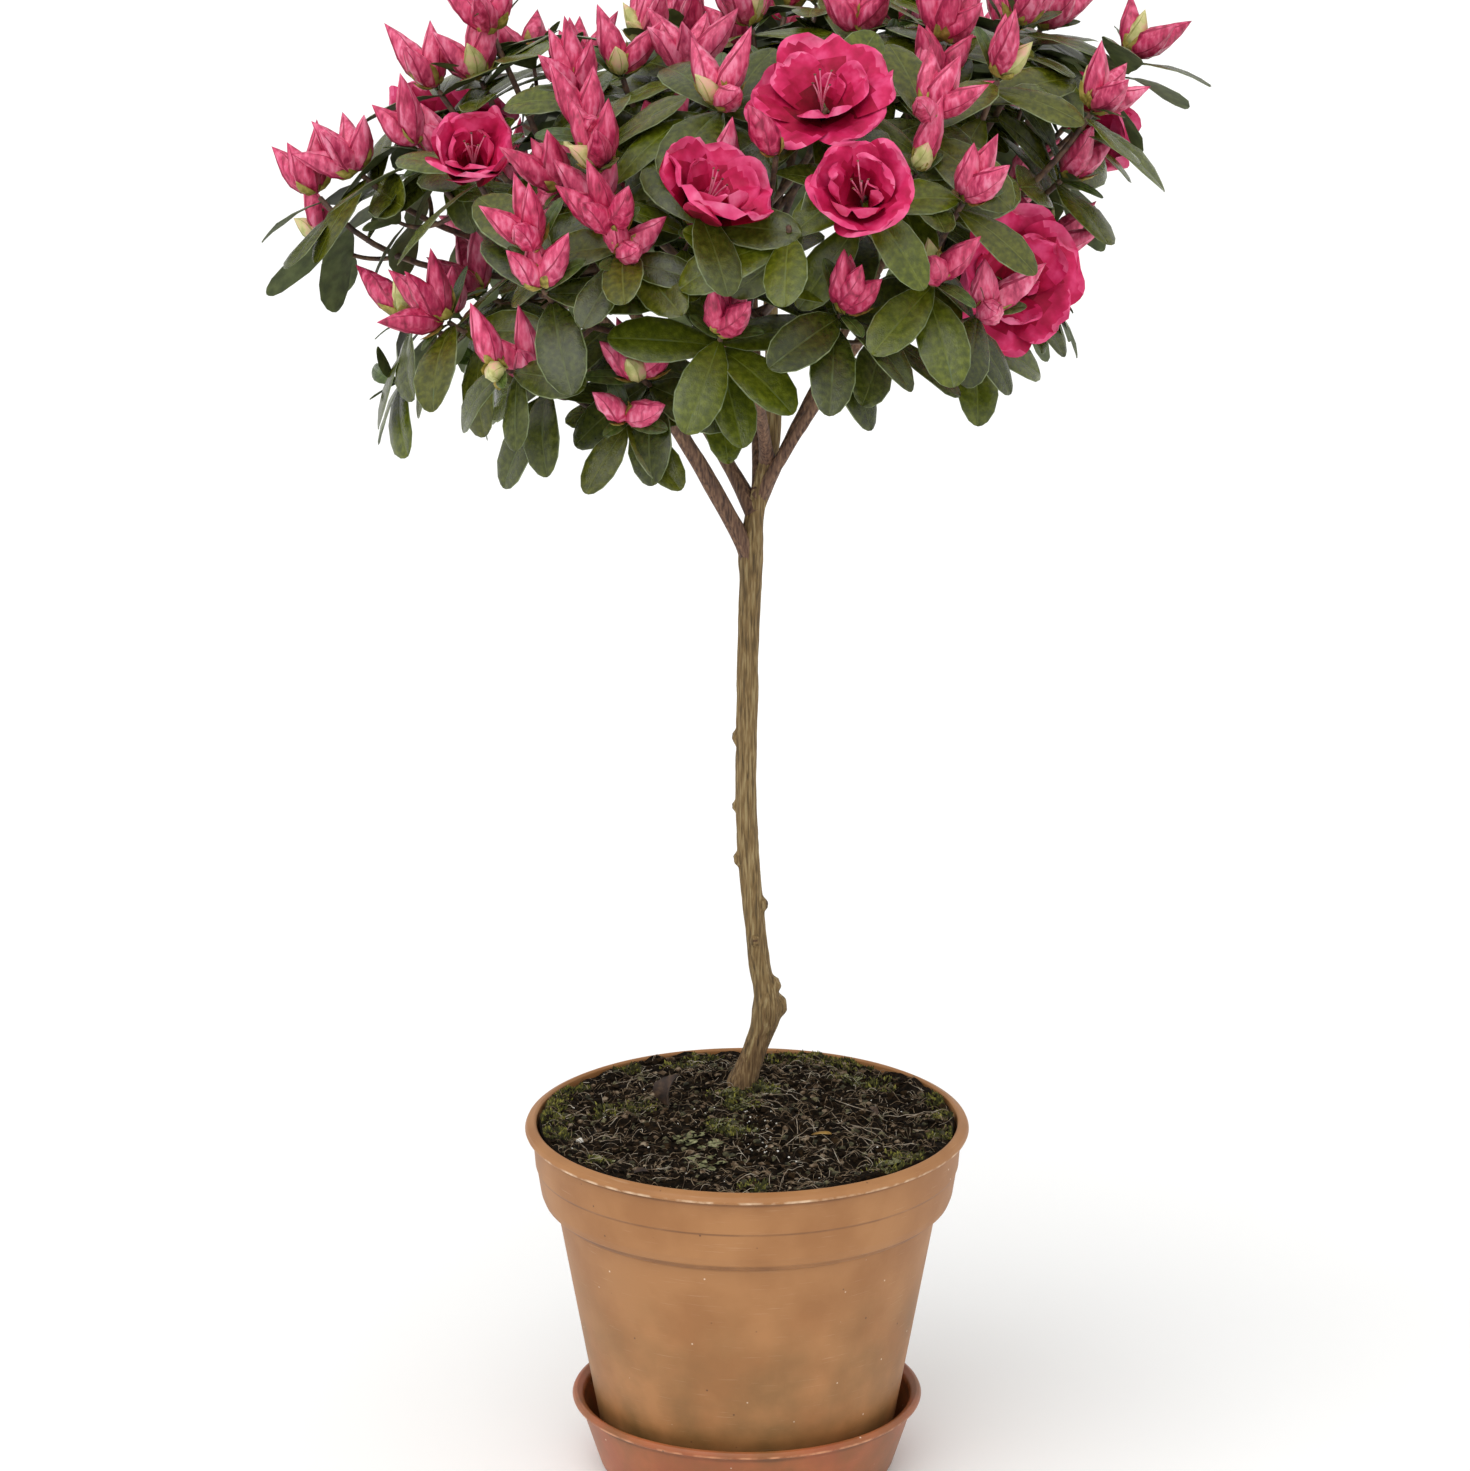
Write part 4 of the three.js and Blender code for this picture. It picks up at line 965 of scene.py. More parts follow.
def rosettes():
    """Heart, axis and mass of each rosette, and its row in SEEN_ROSETTES or -1"""
    i = np.arange(ROSETTES)
    polar = angle_at((i + 0.5) / ROSETTES) + 0.05 * (chance(i, 0) - 0.5)
    turn = i * GOLDEN_ANGLE + FIRST_TURN + 0.16 * (chance(i, 1) - 0.5)
    radius, height = outline(polar)
    reach = radius * (0.95 + 0.1 * chance(i, 2))
    x, y = reach * np.cos(turn), reach * np.sin(turn)
    z = height + HEAD_TILT * x + 9 * MM * (chance(i, 3) - 0.5)
    heart = HEAD + np.stack([x, y, z], -1)
    seen = np.full(ROSETTES, -1)
    for n, row in enumerate(SEEN_ROSETTES):
        place = np.array(row[:3]) * MM
        distance = np.linalg.norm(heart - place, axis=-1)
        nearest = np.where(seen < 0, distance, np.inf).argmin()
        heart[nearest] = place
        seen[nearest] = n
    mass = np.linalg.norm(heart[:, None] - ANCHORS[None], axis=-1).argmin(1)
    for _ in range(8):
        shallow = depth_in(heart, mass) < HEART_MARGIN
        heart = heart + shallow[:, None] * 0.06 * (ANCHORS[mass] - heart)
    axis = unit(unit(heart - (HEAD - UP * AXIS_FOCUS_DROP)) + UP * AXIS_LIFT)
    jitter = (np.column_stack([chance(i, 4), chance(i, 5), chance(i, 6)]) - 0.5) * (0.3, 0.3, 0.2)
    return heart, unit(axis + jitter), mass, seen


def mass_stems(t):
    """Middle lines of the woody stems inside the masses, (masses, steps, 3), the leader's first"""
    tip, before = stem_point([1.0, 0.999])
    way = unit(tip - before)
    leader = tip + way * (LEADER_RUN * t[:, None])
    ends = bough_lines(np.array([0.99, 1.0]))
    start = ends[:, 1]
    way = unit(ends[:, 1] - ends[:, 0])
    end = head_point(BOUGH_ANGLES, STEM_REACH, STEM_TIP_HEIGHT)
    knee = start + way * 0.5 * np.linalg.norm(end - start, axis=-1, keepdims=True)
    others = bezier(start[:, None], knee[:, None], end[:, None], t[None, :, None])
    return np.concatenate([leader[None], others])


def spray(axis, off, about, sag):
    """Directions at angles off from the axis, turned about it, then pulled down by their weight"""
    first = unit(np.cross(axis, RIGHT))
    second = np.cross(axis, first)
    aside = first * np.cos(about)[:, None] + second * np.sin(about)[:, None]
    way = axis * np.cos(off)[:, None] + aside * np.sin(off)[:, None]
    way[:, 2] -= sag
    return unit(way)


def upper_side(axis, way):
    """The part of the axis that stands square to a direction"""
    return unit(axis - way * np.sum(axis * way, -1, keepdims=True))


def shoots():
    """Every leafy shoot: the source's rosettes, then one or two side shoots on the twig of each.
    code seeds a shoot's draws, and start, knee and heart draw its twig."""
    heart, axis, mass, seen = rosettes()
    i = np.arange(ROSETTES)
    stems = mass_stems(np.linspace(0, 1, 101))
    start = stems[mass, np.round(100 * (0.3 + 0.65 * chance(i, 7))).astype(int)]
    distance = np.linalg.norm(heart - start, axis=-1, keepdims=True)
    knee = heart - axis * 0.45 * distance

    beside_it = np.where(seen < 0, 1 + (chance(i, 800) < 0.6), chance(i, 800) < 0.75)
    parent = np.repeat(i, beside_it)
    n = np.arange(len(parent))
    second = np.concatenate([[False], parent[1:] == parent[:-1]])
    about = 6.28 * chance(parent, 801) + second * 3.0
    beside = spray(axis[parent], np.full(len(n), math.pi / 2), about, np.zeros(len(n)))
    side_heart = heart[parent] + beside * between(SIDE_SHOOT_ASIDE, n, 802)[:, None]
    side_heart -= axis[parent] * between(SIDE_SHOOT_BELOW, n, 803)[:, None]
    side_axis = unit(axis[parent] + beside * between(SIDE_SHOOT_LEAN, n, 804)[:, None])
    side_start = bezier(start[parent], knee[parent], heart[parent], SIDE_SHOOT_START)
    side_distance = np.linalg.norm(side_heart - side_start, axis=-1, keepdims=True)
    side_knee = side_heart - side_axis * 0.45 * side_distance
    return {
        "code": np.concatenate([i, 1000 + n]),
        "heart": np.concatenate([heart, side_heart]),
        "axis": np.concatenate([axis, side_axis]),
        "start": np.concatenate([start, side_start]),
        "knee": np.concatenate([knee, side_knee]),
        "side": np.concatenate([np.zeros(ROSETTES, bool), np.ones(len(n), bool)]),
        "seen": np.concatenate([seen, np.full(len(n), -2)]),
        "in_front": np.concatenate([seen, seen[parent]]) >= 0,
    }


SHOOTS = shoots()
CODE, HEART, AXIS, SIDE, SEEN = (SHOOTS[key] for key in ("code", "heart", "axis", "side", "seen"))
STANDING = SIDE + 2 * ~SHOOTS["in_front"]

# How far each shoot's bloom has opened, or 0
OPENED = np.where(SEEN >= 0, np.array([row[4] for row in SEEN_ROSETTES])[SEEN], 0.0)
for *place, opened in HIDDEN_BLOOMS:
    distance = np.linalg.norm(HEART - np.array(place) * MM, axis=-1)
    OPENED[np.where(SEEN == -1, distance, np.inf).argmin()] = opened
BLOOMING = np.flatnonzero(OPENED)
# Each bloom nods some way off its shoot's axis
FACING = spray(AXIS, between((0.28, 0.42), CODE, 1896), 6.28 * chance(CODE, 1897), 0 * OPENED)
BLOOM_ROOT = HEART - AXIS * 5 * MM


def clear_of_blooms(root, way, length):
    """Whether the outer half of each leaf's or bud's middle line stays out of every open bloom,
    which is taken as a shallow cup about the way that the bloom faces"""
    points = on_line(root, way, length, [0.4, 0.6, 0.8, 1])
    from_root = points[:, :, None] - BLOOM_ROOT[BLOOMING]
    ahead = np.sum(from_root * FACING[BLOOMING], -1)
    aside = np.linalg.norm(from_root - ahead[..., None] * FACING[BLOOMING], axis=-1)
    inside = (ahead > 3 * MM) & (ahead > 0.3 * aside) & (ahead < 26 * MM) & (aside < 31 * MM)
    return ~inside.any((1, 2))


def dealt(counts):
    """For so many items on each shoot: the shoot's row and the item's number on it"""
    shoot = np.repeat(np.arange(len(counts)), counts)
    number = np.arange(len(shoot)) - np.repeat(np.cumsum(counts) - counts, counts)
    return shoot, number


def twigs():
    """The wood inside the head: a stem in each mass, and a twig to each shoot"""
    t = np.linspace(0, 1, 12)
    stems = mass_stems(t)
    thick = np.concatenate([[LEADER_TIP_RADIUS - 0.3 * MM], BOUGH_RADII[:, 1] - 0.2 * MM])
    wood = rods(stems, thick[:, None] * (1 - 0.3 * t), 10)
    start, knee, heart = (SHOOTS[key][:, None] for key in ("start", "knee", "heart"))
    lines = bezier(start, knee, heart, t[None, :, None])
    base = np.where(SIDE, 1.1 * MM, 1.6 * MM)[:, None]
    return joined([wood, rods(lines, base * (1 - 0.25 * t), 7, 1)])


add_piece("twigs", twigs(), [BOUGH_BARK, TWIG_RIND])


# Buds

BUD_ROWS = np.array([0.05, 0.18, 0.36, 0.56, 0.76, 0.92])[:, None]
BUD_PETALS = 4
# Corners of one rolled petal as shares of its width, and how far out they stand
BUD_CORNERS = np.array([0, 0.1, 0.55])
BUD_STANDS = np.array([1.07, 0.95, 1.01])
BUD_SWELL = 1.05  # buds are so much longer than the solids show
UNRIPE_SHARE = 0.1
SCALES = 3


def bud_shapes(root, way, length, width, wind, finish):
    """Buds: four petals rolled about each other. At share u of the length the radius is width/2
    times sin(pi * u**0.72), and the petals wind about the bud by `wind` radians. Each petal's free
    edge stands out over the next, and the narrow step under it is the seam, which takes a darker
    finish as painted shade."""
    side = unit(np.cross(way, np.where(np.abs(way[:, 2:]) > 0.9, RIGHT, UP)))
    corner = ((np.arange(BUD_PETALS)[:, None] + BUD_CORNERS) / BUD_PETALS).ravel()
    long, wide, wind = (q[:, None, None] for q in (length, width, wind))
    turn = 2 * math.pi * corner + wind * BUD_ROWS
    radius = wide / 2 * np.sin(math.pi * BUD_ROWS**0.72) * np.tile(BUD_STANDS, BUD_PETALS)
    rings = placed(
        root, (way, long * BUD_ROWS), (side, radius * np.cos(turn)),
        (np.cross(way, side), radius * np.sin(turn)),
    )
    # Two finishes to a bud: its petals and, on the first face of each petal, the seam, which is darker as
    # painted shade in the step
    shade = finish[:, None, None] * 2 + np.tile([1, 0, 0], BUD_PETALS)
    return loft(rings, root, root + way * length[:, None], shade, shade)


def scales(root, way, up, length, width):
    """Bud scales: keeled blades with four corners to a ring, widest below the middle"""
    u = np.array([0.2, 0.45, 0.75])[:, None]
    long, wide = length[:, None, None], width[:, None, None]
    half = wide / 2 * np.array([0.8, 1.0, 0.62])[:, None]
    lift = np.array([0.25, 0.6, 0.25, -0.1]) * half + 0.25 * u * (1 - u) * long
    side = np.cross(up, way)
    rings = placed(root, (way, long * u), (side, np.array([1, 0, -1, 0]) * half), (up, lift))
    return loft(rings, root, root + way * length[:, None])


def buds():
    """Every bud's root, direction, size, twist and finish"""
    budding = (OPENED == 0) & (chance(CODE, 12) < BUDDING_SHARE[STANDING])
    least = np.where(SIDE, 2, 3)
    counts = budding * (least + np.floor(least * chance(CODE, 13)))
    # The small clusters that are seen have one more bud than the solids show
    given = np.array([row[3] + (0 < row[3] < 5) for row in SEEN_ROSETTES])
    counts = np.where(SEEN >= 0, given[SEEN], counts).astype(int)
    shoot, j = dealt(counts)
    code, axis = CODE[shoot], AXIS[shoot]
    k = 70 + 4 * j
    about = 2 * math.pi * (j + 0.4 * chance(code, k)) / counts[shoot] + 6 * chance(code, 14)
    unripe = chance(code, k + 1400) < UNRIPE_SHARE
    tint = np.floor(len(BUD_TINTS) * chance(code, 1402)).astype(int)
    length = BUD_SWELL * between(BUD_LENGTH, code, k + 2) * np.where(SIDE[shoot], 0.88, 1)
    grown = {
        "root": HEART[shoot] + axis * 2 * MM,
        "way": spray(axis, between(BUD_OFF_AXIS, code, k + 1), about, np.full(len(code), -BUD_LIFT)),
        "length": np.where(unripe, 0.62, 1) * length,
        "width": np.where(unripe, 0.8, 1) * between(BUD_WIDTH, code, k + 3),
        "wind": 0.9 + 0.7 * chance(code, k + 1401),
        "finish": np.where(unripe, len(BUD_TINTS), tint),
    }
    keep = clear_of_blooms(grown["root"], grown["way"], grown["length"])
    return {key: value[keep] for key, value in grown.items()}


BUDS = buds()


def bud_scales():
    """Three scales round the foot of each bud, which lean out from it"""
    owner = np.repeat(np.arange(len(BUDS["root"])), SCALES)
    n = np.arange(len(owner))
    root, axis = BUDS["root"][owner], BUDS["way"][owner]
    turn = 2 * math.pi * (n % SCALES) / SCALES + chance(owner, 1500) * 3
    way = spray(axis, between((0.34, 0.24), n, 1501), turn, 0)
    length = between((7 * MM, 7 * MM), n, 1502)
    width = between((4.5 * MM, 2 * MM), n, 1503)
    return scales(root + way * 0.8 * MM, way, -upper_side(axis, way), length, width)


add_piece("buds", bud_shapes(**BUDS), BUD_FINISHES)
add_piece("bud_scales", bud_scales(), [SCALE])


# Leaves

LEAF_ROWS = np.array([0.06, 0.22, 0.44, 0.66, 0.84, 0.95, 0.99])[:, None]
LEAF_COLUMNS = np.array([1, 0.95, 0.5, 0.04, -0.04, -0.5, -0.95, -1, 0])
IS_UNDER = np.array([0, 0, 0, 0, 0, 0, 0, 0, 1])
# Faces between those columns: 0 blade, 1 margin, 2 underside, 3 midrib
LEAF_FACES = np.array([1, 0, 0, 3, 0, 0, 1, 2, 2])
OLDER_LEAF_LENGTH = (34 * MM, 11 * MM)
OLDER_LEAF_OFF_AXIS = (math.radians(88), math.radians(26))
YOUNG_LEAF_LENGTH = (16 * MM, 12 * MM)
YOUNG_LEAF_OFF_AXIS = (math.radians(38), math.radians(30))


def bulge(u, rise, fall):
    """u**rise * (1 - u)**fall, scaled to 1 where it is greatest"""
    whole = rise + fall
    return u**rise * (1 - u) ** fall / ((rise / whole) ** rise * (fall / whole) ** fall)


def leaf_shapes(root, way, up, length, width, arch, droop, keel, phase):
    """Leaves. At share u of the length the blade's half width is width/2 times
    u**0.8 * (1 - u)**0.55, scaled to 1 at its widest, which is blunt at the tip. Its height over
    the line from root to tip is arch * 4u(1 - u) less droop * u**2. Each half rises by keel to its
    edge, the margins curl under and ripple a little, and the midrib is sunk."""
    tip = root + way * length[:, None] - up * droop[:, None]
    length, width, arch, droop, keel, phase = (
        q[:, None, None] for q in (length, width, arch, droop, keel, phase)
    )
    u, v = LEAF_ROWS, LEAF_COLUMNS
    half = width / 2 * bulge(u, 0.8, 0.55)
    lift = arch * 4 * u * (1 - u) - droop * u**2
    ripple = 0.06 * np.sin(9 * u + phase) * v * np.abs(v)
    lift = lift + half * (keel * np.abs(v) - 0.16 * v**4 + ripple)
    lift = lift - np.where(IS_UNDER, LEAF_THICKNESS, np.where(np.abs(v) < 0.1, MIDRIB_DEPTH, 0))
    rings = placed(root, (way, length * u), (np.cross(up, way), half * v), (up, lift))
    return loft(rings, root, tip, LEAF_FACES, LEAF_FACES)


# Middle lines of the limbs with their radii, for keeping leaves off them
LIMB_SHARES = np.linspace(0, 1, 30)
LIMB_POINTS = np.concatenate([stem_point(LIMB_SHARES), bough_lines(LIMB_SHARES).reshape(-1, 3)])
LIMB_RADII = np.concatenate([
    stem_radius(stem_point(LIMB_SHARES)[:, 2]), np.full(len(BOUGHS) * len(LIMB_SHARES), 3.4 * MM),
])


def clear_of_limbs(root, way, length):
    """Whether the middle line of each leaf passes every limb"""
    points = on_line(root, way, length, [0, 0.35, 0.7, 1])
    gap = np.linalg.norm(points[:, :, None] - LIMB_POINTS, axis=-1) - LIMB_RADII
    return gap.min((1, 2)) > 3 * MM


def clear_of_buds(leaf):
    """Whether no bud runs through each leaf. A bud's middle line runs through where two of its points
    that follow each other lie on different sides of the blade, and one of them within its outline."""
    line = on_line(BUDS["root"], BUDS["way"], BUDS["length"], np.linspace(0.1, 1, 6))
    from_root = line.reshape(-1, 3) - leaf["root"][:, None]
    length, width, arch, droop = (leaf[key][:, None] for key in ("length", "width", "arch", "droop"))
    side = np.cross(leaf["up"], leaf["way"])
    along, aside, above = (
        np.einsum("lpc,lc->lp", from_root, direction) for direction in (leaf["way"], side, leaf["up"])
    )
    u = along / length
    over = above > arch * 4 * u * (1 - u) - droop * u**2
    within = (u > 0.15) & (u < 1) & (np.abs(aside) < width / 2)
    over, within = (q.reshape(len(length), *line.shape[:2]) for q in (over, within))
    through = (over[..., 1:] != over[..., :-1]) & (within[..., 1:] | within[..., :-1])
    return ~through.any((1, 2))


def leaf_set(counts, seed, off, length, behind, step, sag_share=1.0):
    """Leaves of one age on every shoot. They leave their twig one behind the other, from `behind`
    the heart on, and lie at `off` from its axis."""
    shoot, j = dealt(counts)
    code, axis = CODE[shoot], AXIS[shoot]
    k = seed + 6 * j
    count = counts[shoot]
    low = np.clip((HEAD[2] - HEART[shoot][:, 2]) / HEAD_DROP, 0, 1)
    about = 2 * math.pi * (j + 0.35 * chance(code, k)) / count + 6 * chance(code, seed - 9)
    sag = (LEAF_SAG + LOW_LEAF_SAG * low) * sag_share
    way = spray(axis, between(off, code, k + 1), about, sag)
    size = between(length, code, k + 2) * np.where(SIDE[shoot], 0.84, 1)
    start, knee, heart = (SHOOTS[key][shoot] for key in ("start", "knee", "heart"))
    run = np.linalg.norm(heart - start, axis=-1)
    back = behind + step * ((j * 3) % count)
    t = np.clip(1 - back / run, 0.15, 1)[:, None]
    root = bezier(start, knee, heart, t) - way * 0.6 * MM
    outward = root[:, :2] - HEAD[:2]
    reach = np.linalg.norm(outward, axis=-1)
    ahead = np.sum(way[:, :2] * outward, -1) / reach
    size = np.minimum(size, (LEAF_REACH - reach) / np.maximum(ahead, 0.1))
    width = size * between(LEAF_WIDTH_SHARE, code, k + 4)
    lean = 0.5 * (chance(code, k + 3) - 0.5)
    up = upper_side(axis, way)
    up = unit(up + np.cross(way, up) * lean[:, None])
    grown = {
        "root": root, "way": way, "up": up, "length": size, "width": width,
        "arch": (0.02 + 0.06 * chance(code, k + 5)) * size,
        "droop": (0.22 * chance(code, k + 1001) - 0.03) * size,
        "keel": 0.05 + 0.22 * chance(code, k + 1002),
        "phase": 6.28 * chance(code, k + 1003), "shoot": shoot,
    }
    keep = clear_of_limbs(root, way, size) & clear_of_blooms(root, way, size) & clear_of_buds(grown)
    return {key: value[keep] for key, value in grown.items()}


def leaf_pieces():
    """All leaves of the head, a shoot's in one of the four tints, and the young ones in their own"""
    grown = LEAVES_LEAST[STANDING] + np.floor(2 * chance(CODE, 10)).astype(int)
    older = OLDER_LEAVES[STANDING]
    sets = [
        leaf_set(grown, 20, LEAF_OFF_AXIS, LEAF_LENGTH, behind=2.5 * MM, step=2.4 * MM),
        leaf_set(older, 1100, OLDER_LEAF_OFF_AXIS, OLDER_LEAF_LENGTH, behind=20 * MM, step=5 * MM),
    ]
    whole = {key: np.concatenate([s[key] for s in sets]) for key in sets[0]}
    tint = np.floor(chance(CODE, 900) * len(LEAF_TINTS)).astype(int)[whole.pop("shoot")]
    masses = ["foliage_top"] + ["foliage_" + row[0] for row in BOUGHS]
    for n, (name, *_) in enumerate(LEAF_TINTS):
        chosen = {key: value[tint == n] for key, value in whole.items()}
        add_piece("leaves_" + name, leaf_shapes(**chosen), LEAF_FINISHES[n],
                  masses if n == 0 else ())
    counts = np.where(OPENED > 0, 0, 1 + np.floor(3 * chance(CODE, 901))).astype(int)
    young = leaf_set(counts, 1300, YOUNG_LEAF_OFF_AXIS, YOUNG_LEAF_LENGTH, behind=0.5 * MM, step=0.6 * MM,
                     sag_share=0.3)
    young["width"] *= 0.75
    young.pop("shoot")
    add_piece("leaves_young", leaf_shapes(**young), YOUNG_LEAF_FINISHES)


# Leaves fallen on the mix: x, y and the root's height over the mix in mm, rise and heading in degrees,
# length and width in mm, how far they curl as shares of the length, and 1 for a yellow one
FALLEN_LEAVES = [
    (-29, 6, 14.5, -70, 215, 15, 11, 0.2, 1, 0), (27, -23, 0.8, 6, -8, 9, 4, 0.08, 0.3, 1),
    (70, -24, 0.8, 8, -35, 10, 5, 0.04, 0.1, 0), (-40, -66, 0.8, 10, 200, 8, 4.5, 0.12, 0.6, 0),
    (56, 4, 0.8, 12, 120, 7, 3.5, 0.1, 0.6, 0),
]


def fallen_leaves():
    """Dry leaves on the mix, the first of them standing on its tip"""
    rows = np.array(FALLEN_LEAVES)
    x, y, above, length, width = rows[:, [0, 1, 2, 5, 6]].T * MM
    rise, heading = np.radians(rows[:, [3, 4]].T)
    level = np.column_stack([np.cos(heading), np.sin(heading), 0 * heading])
    run, climb = np.cos(rise)[:, None], np.sin(rise)[:, None]
    root = np.column_stack([x, y, mix_height(x, y) + above])
    shape = leaf_shapes(
        root, level * run + UP * climb, UP * run - level * climb, length, width,
        arch=rows[:, 7] * length, droop=0 * length, keel=rows[:, 8], phase=x,
    )
    for key in ("quad_finish", "triangle_finish"):
        shape[key] = np.repeat(rows[:, 9].astype(int), len(shape[key]) // len(rows))
    add_piece("fallen_leaves", shape, [DEAD_LEAF, YELLOW_LEAF])


leaf_pieces()
fallen_leaves()


# Blooms

PETAL_ROWS = (1 - (1 - np.linspace(0.04, 0.97, 13)) ** 1.5)[:, None]  # closer together at the rim
PETAL_COLUMNS = np.concatenate([np.linspace(1, -1, 13), np.linspace(-1, 1, 13)[1:-1]])
PETAL_IS_UNDER = np.array([0] * 13 + [1] * 11)
PETAL_THICKNESS = 0.35 * MM
STAMENS = 5
# Whorls of a double bloom: petals, length in mm, width in mm, angles off the axis at root and tip
WHORLS = [(5, 31, 36, 42, 90), (3, 26, 23, 32, 66), (1, 17, 11, 20, 48)]


def petal_shapes(root, axis, out, length, width, lean, spread, ruffle, phase):
    """Petals. The middle line is an arc that leaves its root at angle lean off the bloom's axis and
    ends at angle spread. At share u the half width is width/2 times u**0.6 * (1 - u)**0.28, scaled
    to 1. The blade is cupped across, and waves run round its rim and grow towards it."""
    u, v = PETAL_ROWS, PETAL_COLUMNS
    length, width, lean, ruffle, phase = (q[:, None, None] for q in (length, width, lean, ruffle, phase))
    bend = spread[:, None, None] - lean
    angle = lean + bend * u
    along = length * (np.sin(angle) - np.sin(lean)) / bend
    outward = length * (np.cos(lean) - np.cos(angle)) / bend
    half = width / 2 * bulge(u, 0.6, 0.28)
    wave = ruffle * u**2.2 * (0.35 + 0.65 * np.abs(v)) * np.sin(5.2 * v + 1.6 * u + phase)
    lift = 0.16 * half * v**2 + wave - PETAL_THICKNESS * PETAL_IS_UNDER
    # The rim runs a little forward and back with the waves
    forward = length * u**4 * (0.04 * np.cos(5 * v + phase) + 0.02 * np.cos(13 * v))
    rings = placed(
        root, (axis, along + forward * np.cos(angle) + lift * np.sin(angle)),
        (out, outward + forward * np.sin(angle) - lift * np.cos(angle)), (np.cross(axis, out), half * v),
    )
    last = angle[:, -1]
    tip = rings[:, -1, 6] + (axis * np.cos(last) + out * np.sin(last)) * 0.03 * length[:, 0]
    # Finish by zone: throat and deep near the root, partly painted shade; rim at the edge, partly painted
    # light; body between
    reach = PETAL_ROWS[:-1] + 0.16 * PETAL_COLUMNS**2
    faces = np.select([reach < 0.4, reach < 0.68, reach > 0.94], [2, 3, 1], 0)
    return loft(rings, root, tip, faces, np.array([[2], [1]]))


def bloom_petals():
    """Every petal, whorl by whorl. The less a bloom has opened, the shorter its petals are and the
    less they lean and spread. Each has its own size, tilt and ruffle."""
    rows = [(shoot, n, j) for shoot in BLOOMING for n, row in enumerate(WHORLS) for j in range(row[0])]
    shoot, whorl, j = np.array(rows).T
    code, opened = CODE[shoot] * 100 + whorl * 10 + j, OPENED[shoot]
    petals, length, width, lean, spread = np.array(WHORLS, float)[whorl].T
    turn = 2 * math.pi * (j + 0.5 * whorl + 0.5 * (chance(code, 1600) - 0.5)) / petals
    size = between((0.88, 0.2), code, 1601) * (0.82 + 0.18 * opened) * MM
    lean = np.radians(lean) * opened
    tilt = math.radians(30) * (chance(code, 1602) - 0.5)
    spread = np.maximum(np.radians(spread) * opened + tilt, 0.12 + lean)
    ruffle = between((2.2 * MM, 2.4 * MM), code, 1603)
    axis = FACING[shoot]
    out = upper_side(spray(axis, np.full(len(shoot), math.pi / 2), turn, 0), axis)
    root = BLOOM_ROOT[shoot] + out * 1.2 * MM
    return petal_shapes(
        root, axis, out, length * size, width * size, lean, spread, ruffle, 6.28 * chance(code, 1604),
    )


def bloom_stamens():
    """Thin curved filaments that spread from each bloom's root, with an anther on each"""
    owner, j = dealt(np.full(len(BLOOMING), STAMENS))
    shoot = BLOOMING[owner]
    code, facing = CODE[shoot] * 100 + j, FACING[shoot]
    way = spray(facing, between((0.08, 0.26), code, 1700), 2 * math.pi * j / STAMENS, -0.1)
    length = between((19 * MM, 6 * MM), code, 1701)[:, None]
    base = BLOOM_ROOT[shoot]
    lines = bezier(
        base[:, None], (base + facing * 0.5 * length)[:, None], (base + way * length)[:, None],
        np.linspace(0, 1, 7)[None, :, None],
    )
    threads = rods(lines, np.full(lines.shape[:2], 0.3 * MM), 5)
    anthers = lumps(lines[:, -1], np.full(len(lines), 0.6 * MM), 1710, 1)
    return joined([threads, anthers])


add_piece("bloom_petals", bloom_petals(), [PETAL_BODY, PETAL_RIM_LIT, PETAL_THROAT_SHADED, PETAL_DEEP_SHADED])
add_piece("bloom_stamens", bloom_stamens(), [FILAMENT, ANTHER])


# Stage

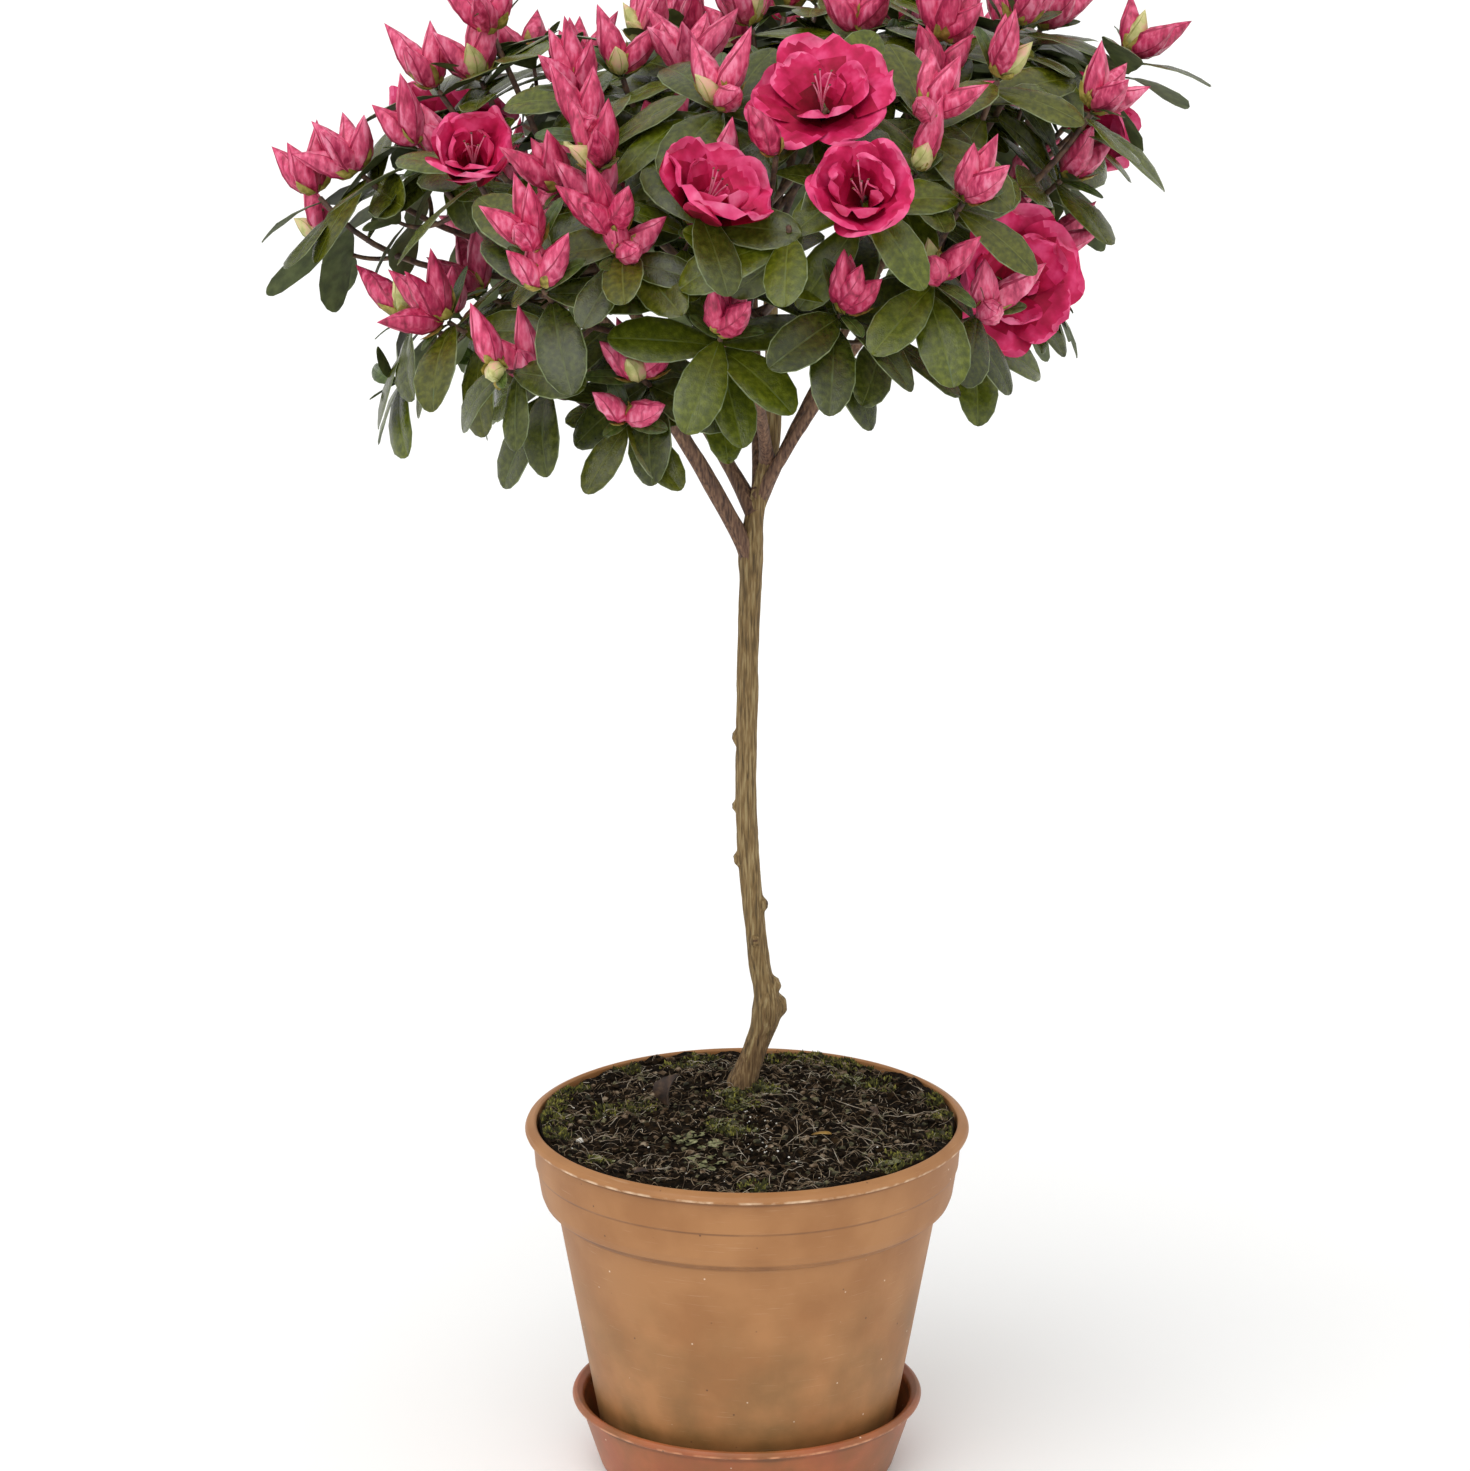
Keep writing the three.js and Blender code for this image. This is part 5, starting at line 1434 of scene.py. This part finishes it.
FLOOR_HALF = 14.0
CAMERA_PITCH = math.radians(16.7)
CAMERA_PLACE = np.array([-5.13, -2821.3, 1174.6]) * MM
SENSOR_WIDTH = 36.0
FOCAL_PIXELS = 7000
PHOTO_PIXELS = 1471
SKY_STRENGTH = 0.74
# Large soft lights: name, direction in degrees (0 from the right, -90 from the viewer), height in
# degrees, strength, and how wide they look in degrees
LIGHTS = [("key", -125, 55, 1.35, 60), ("fill", -50, 40, 0.35, 90)]


def stage():
    """A floor of pale paper, an even white sky, the lights, and the camera, which looks down a little"""
    material, tree, shader, place = new_finish("studio_paper", 0.9)
    grain = node(tree, "ShaderNodeTexNoise", {"Vector": place, "Scale": 3.0})
    colour = layered(tree, "#FDFDFC", [(grain, "#FFFFFE")])
    tree.links.new(output(colour), shader.inputs["Base Color"])
    mesh = bpy.data.meshes.new("floor")
    corners = [(x * FLOOR_HALF, y * FLOOR_HALF, 0) for x, y in ((-1, -1), (1, -1), (1, 1), (-1, 1))]
    mesh.from_pydata(corners, [], [(0, 1, 2, 3)])
    mesh.materials.append(material)
    floor = bpy.data.objects.new("floor", mesh)
    bpy.context.scene.collection.objects.link(floor)

    world = bpy.data.worlds.new("studio")
    world.use_nodes = True
    sky = world.node_tree.nodes["Background"]
    sky.inputs["Color"].default_value = (1, 1, 1, 1)
    sky.inputs["Strength"].default_value = SKY_STRENGTH
    bpy.context.scene.world = world
    bpy.context.scene.view_settings.view_transform = "Standard"

    for name, direction, height, strength, width in LIGHTS:
        light = bpy.data.lights.new(name, "SUN")
        light.energy = strength
        light.angle = math.radians(width)
        lamp = bpy.data.objects.new(name, light)
        bpy.context.scene.collection.objects.link(lamp)
        lamp.rotation_euler = (math.radians(90 - height), 0, math.radians(direction + 90))

    camera = bpy.data.cameras.new("camera")
    camera.sensor_width = SENSOR_WIDTH
    camera.lens = FOCAL_PIXELS / PHOTO_PIXELS * SENSOR_WIDTH
    viewer = bpy.data.objects.new("camera", camera)
    viewer.location = CAMERA_PLACE
    viewer.rotation_euler = (math.pi / 2 - CAMERA_PITCH, 0, 0)
    bpy.context.scene.collection.objects.link(viewer)
    bpy.context.scene.camera = viewer


stage()
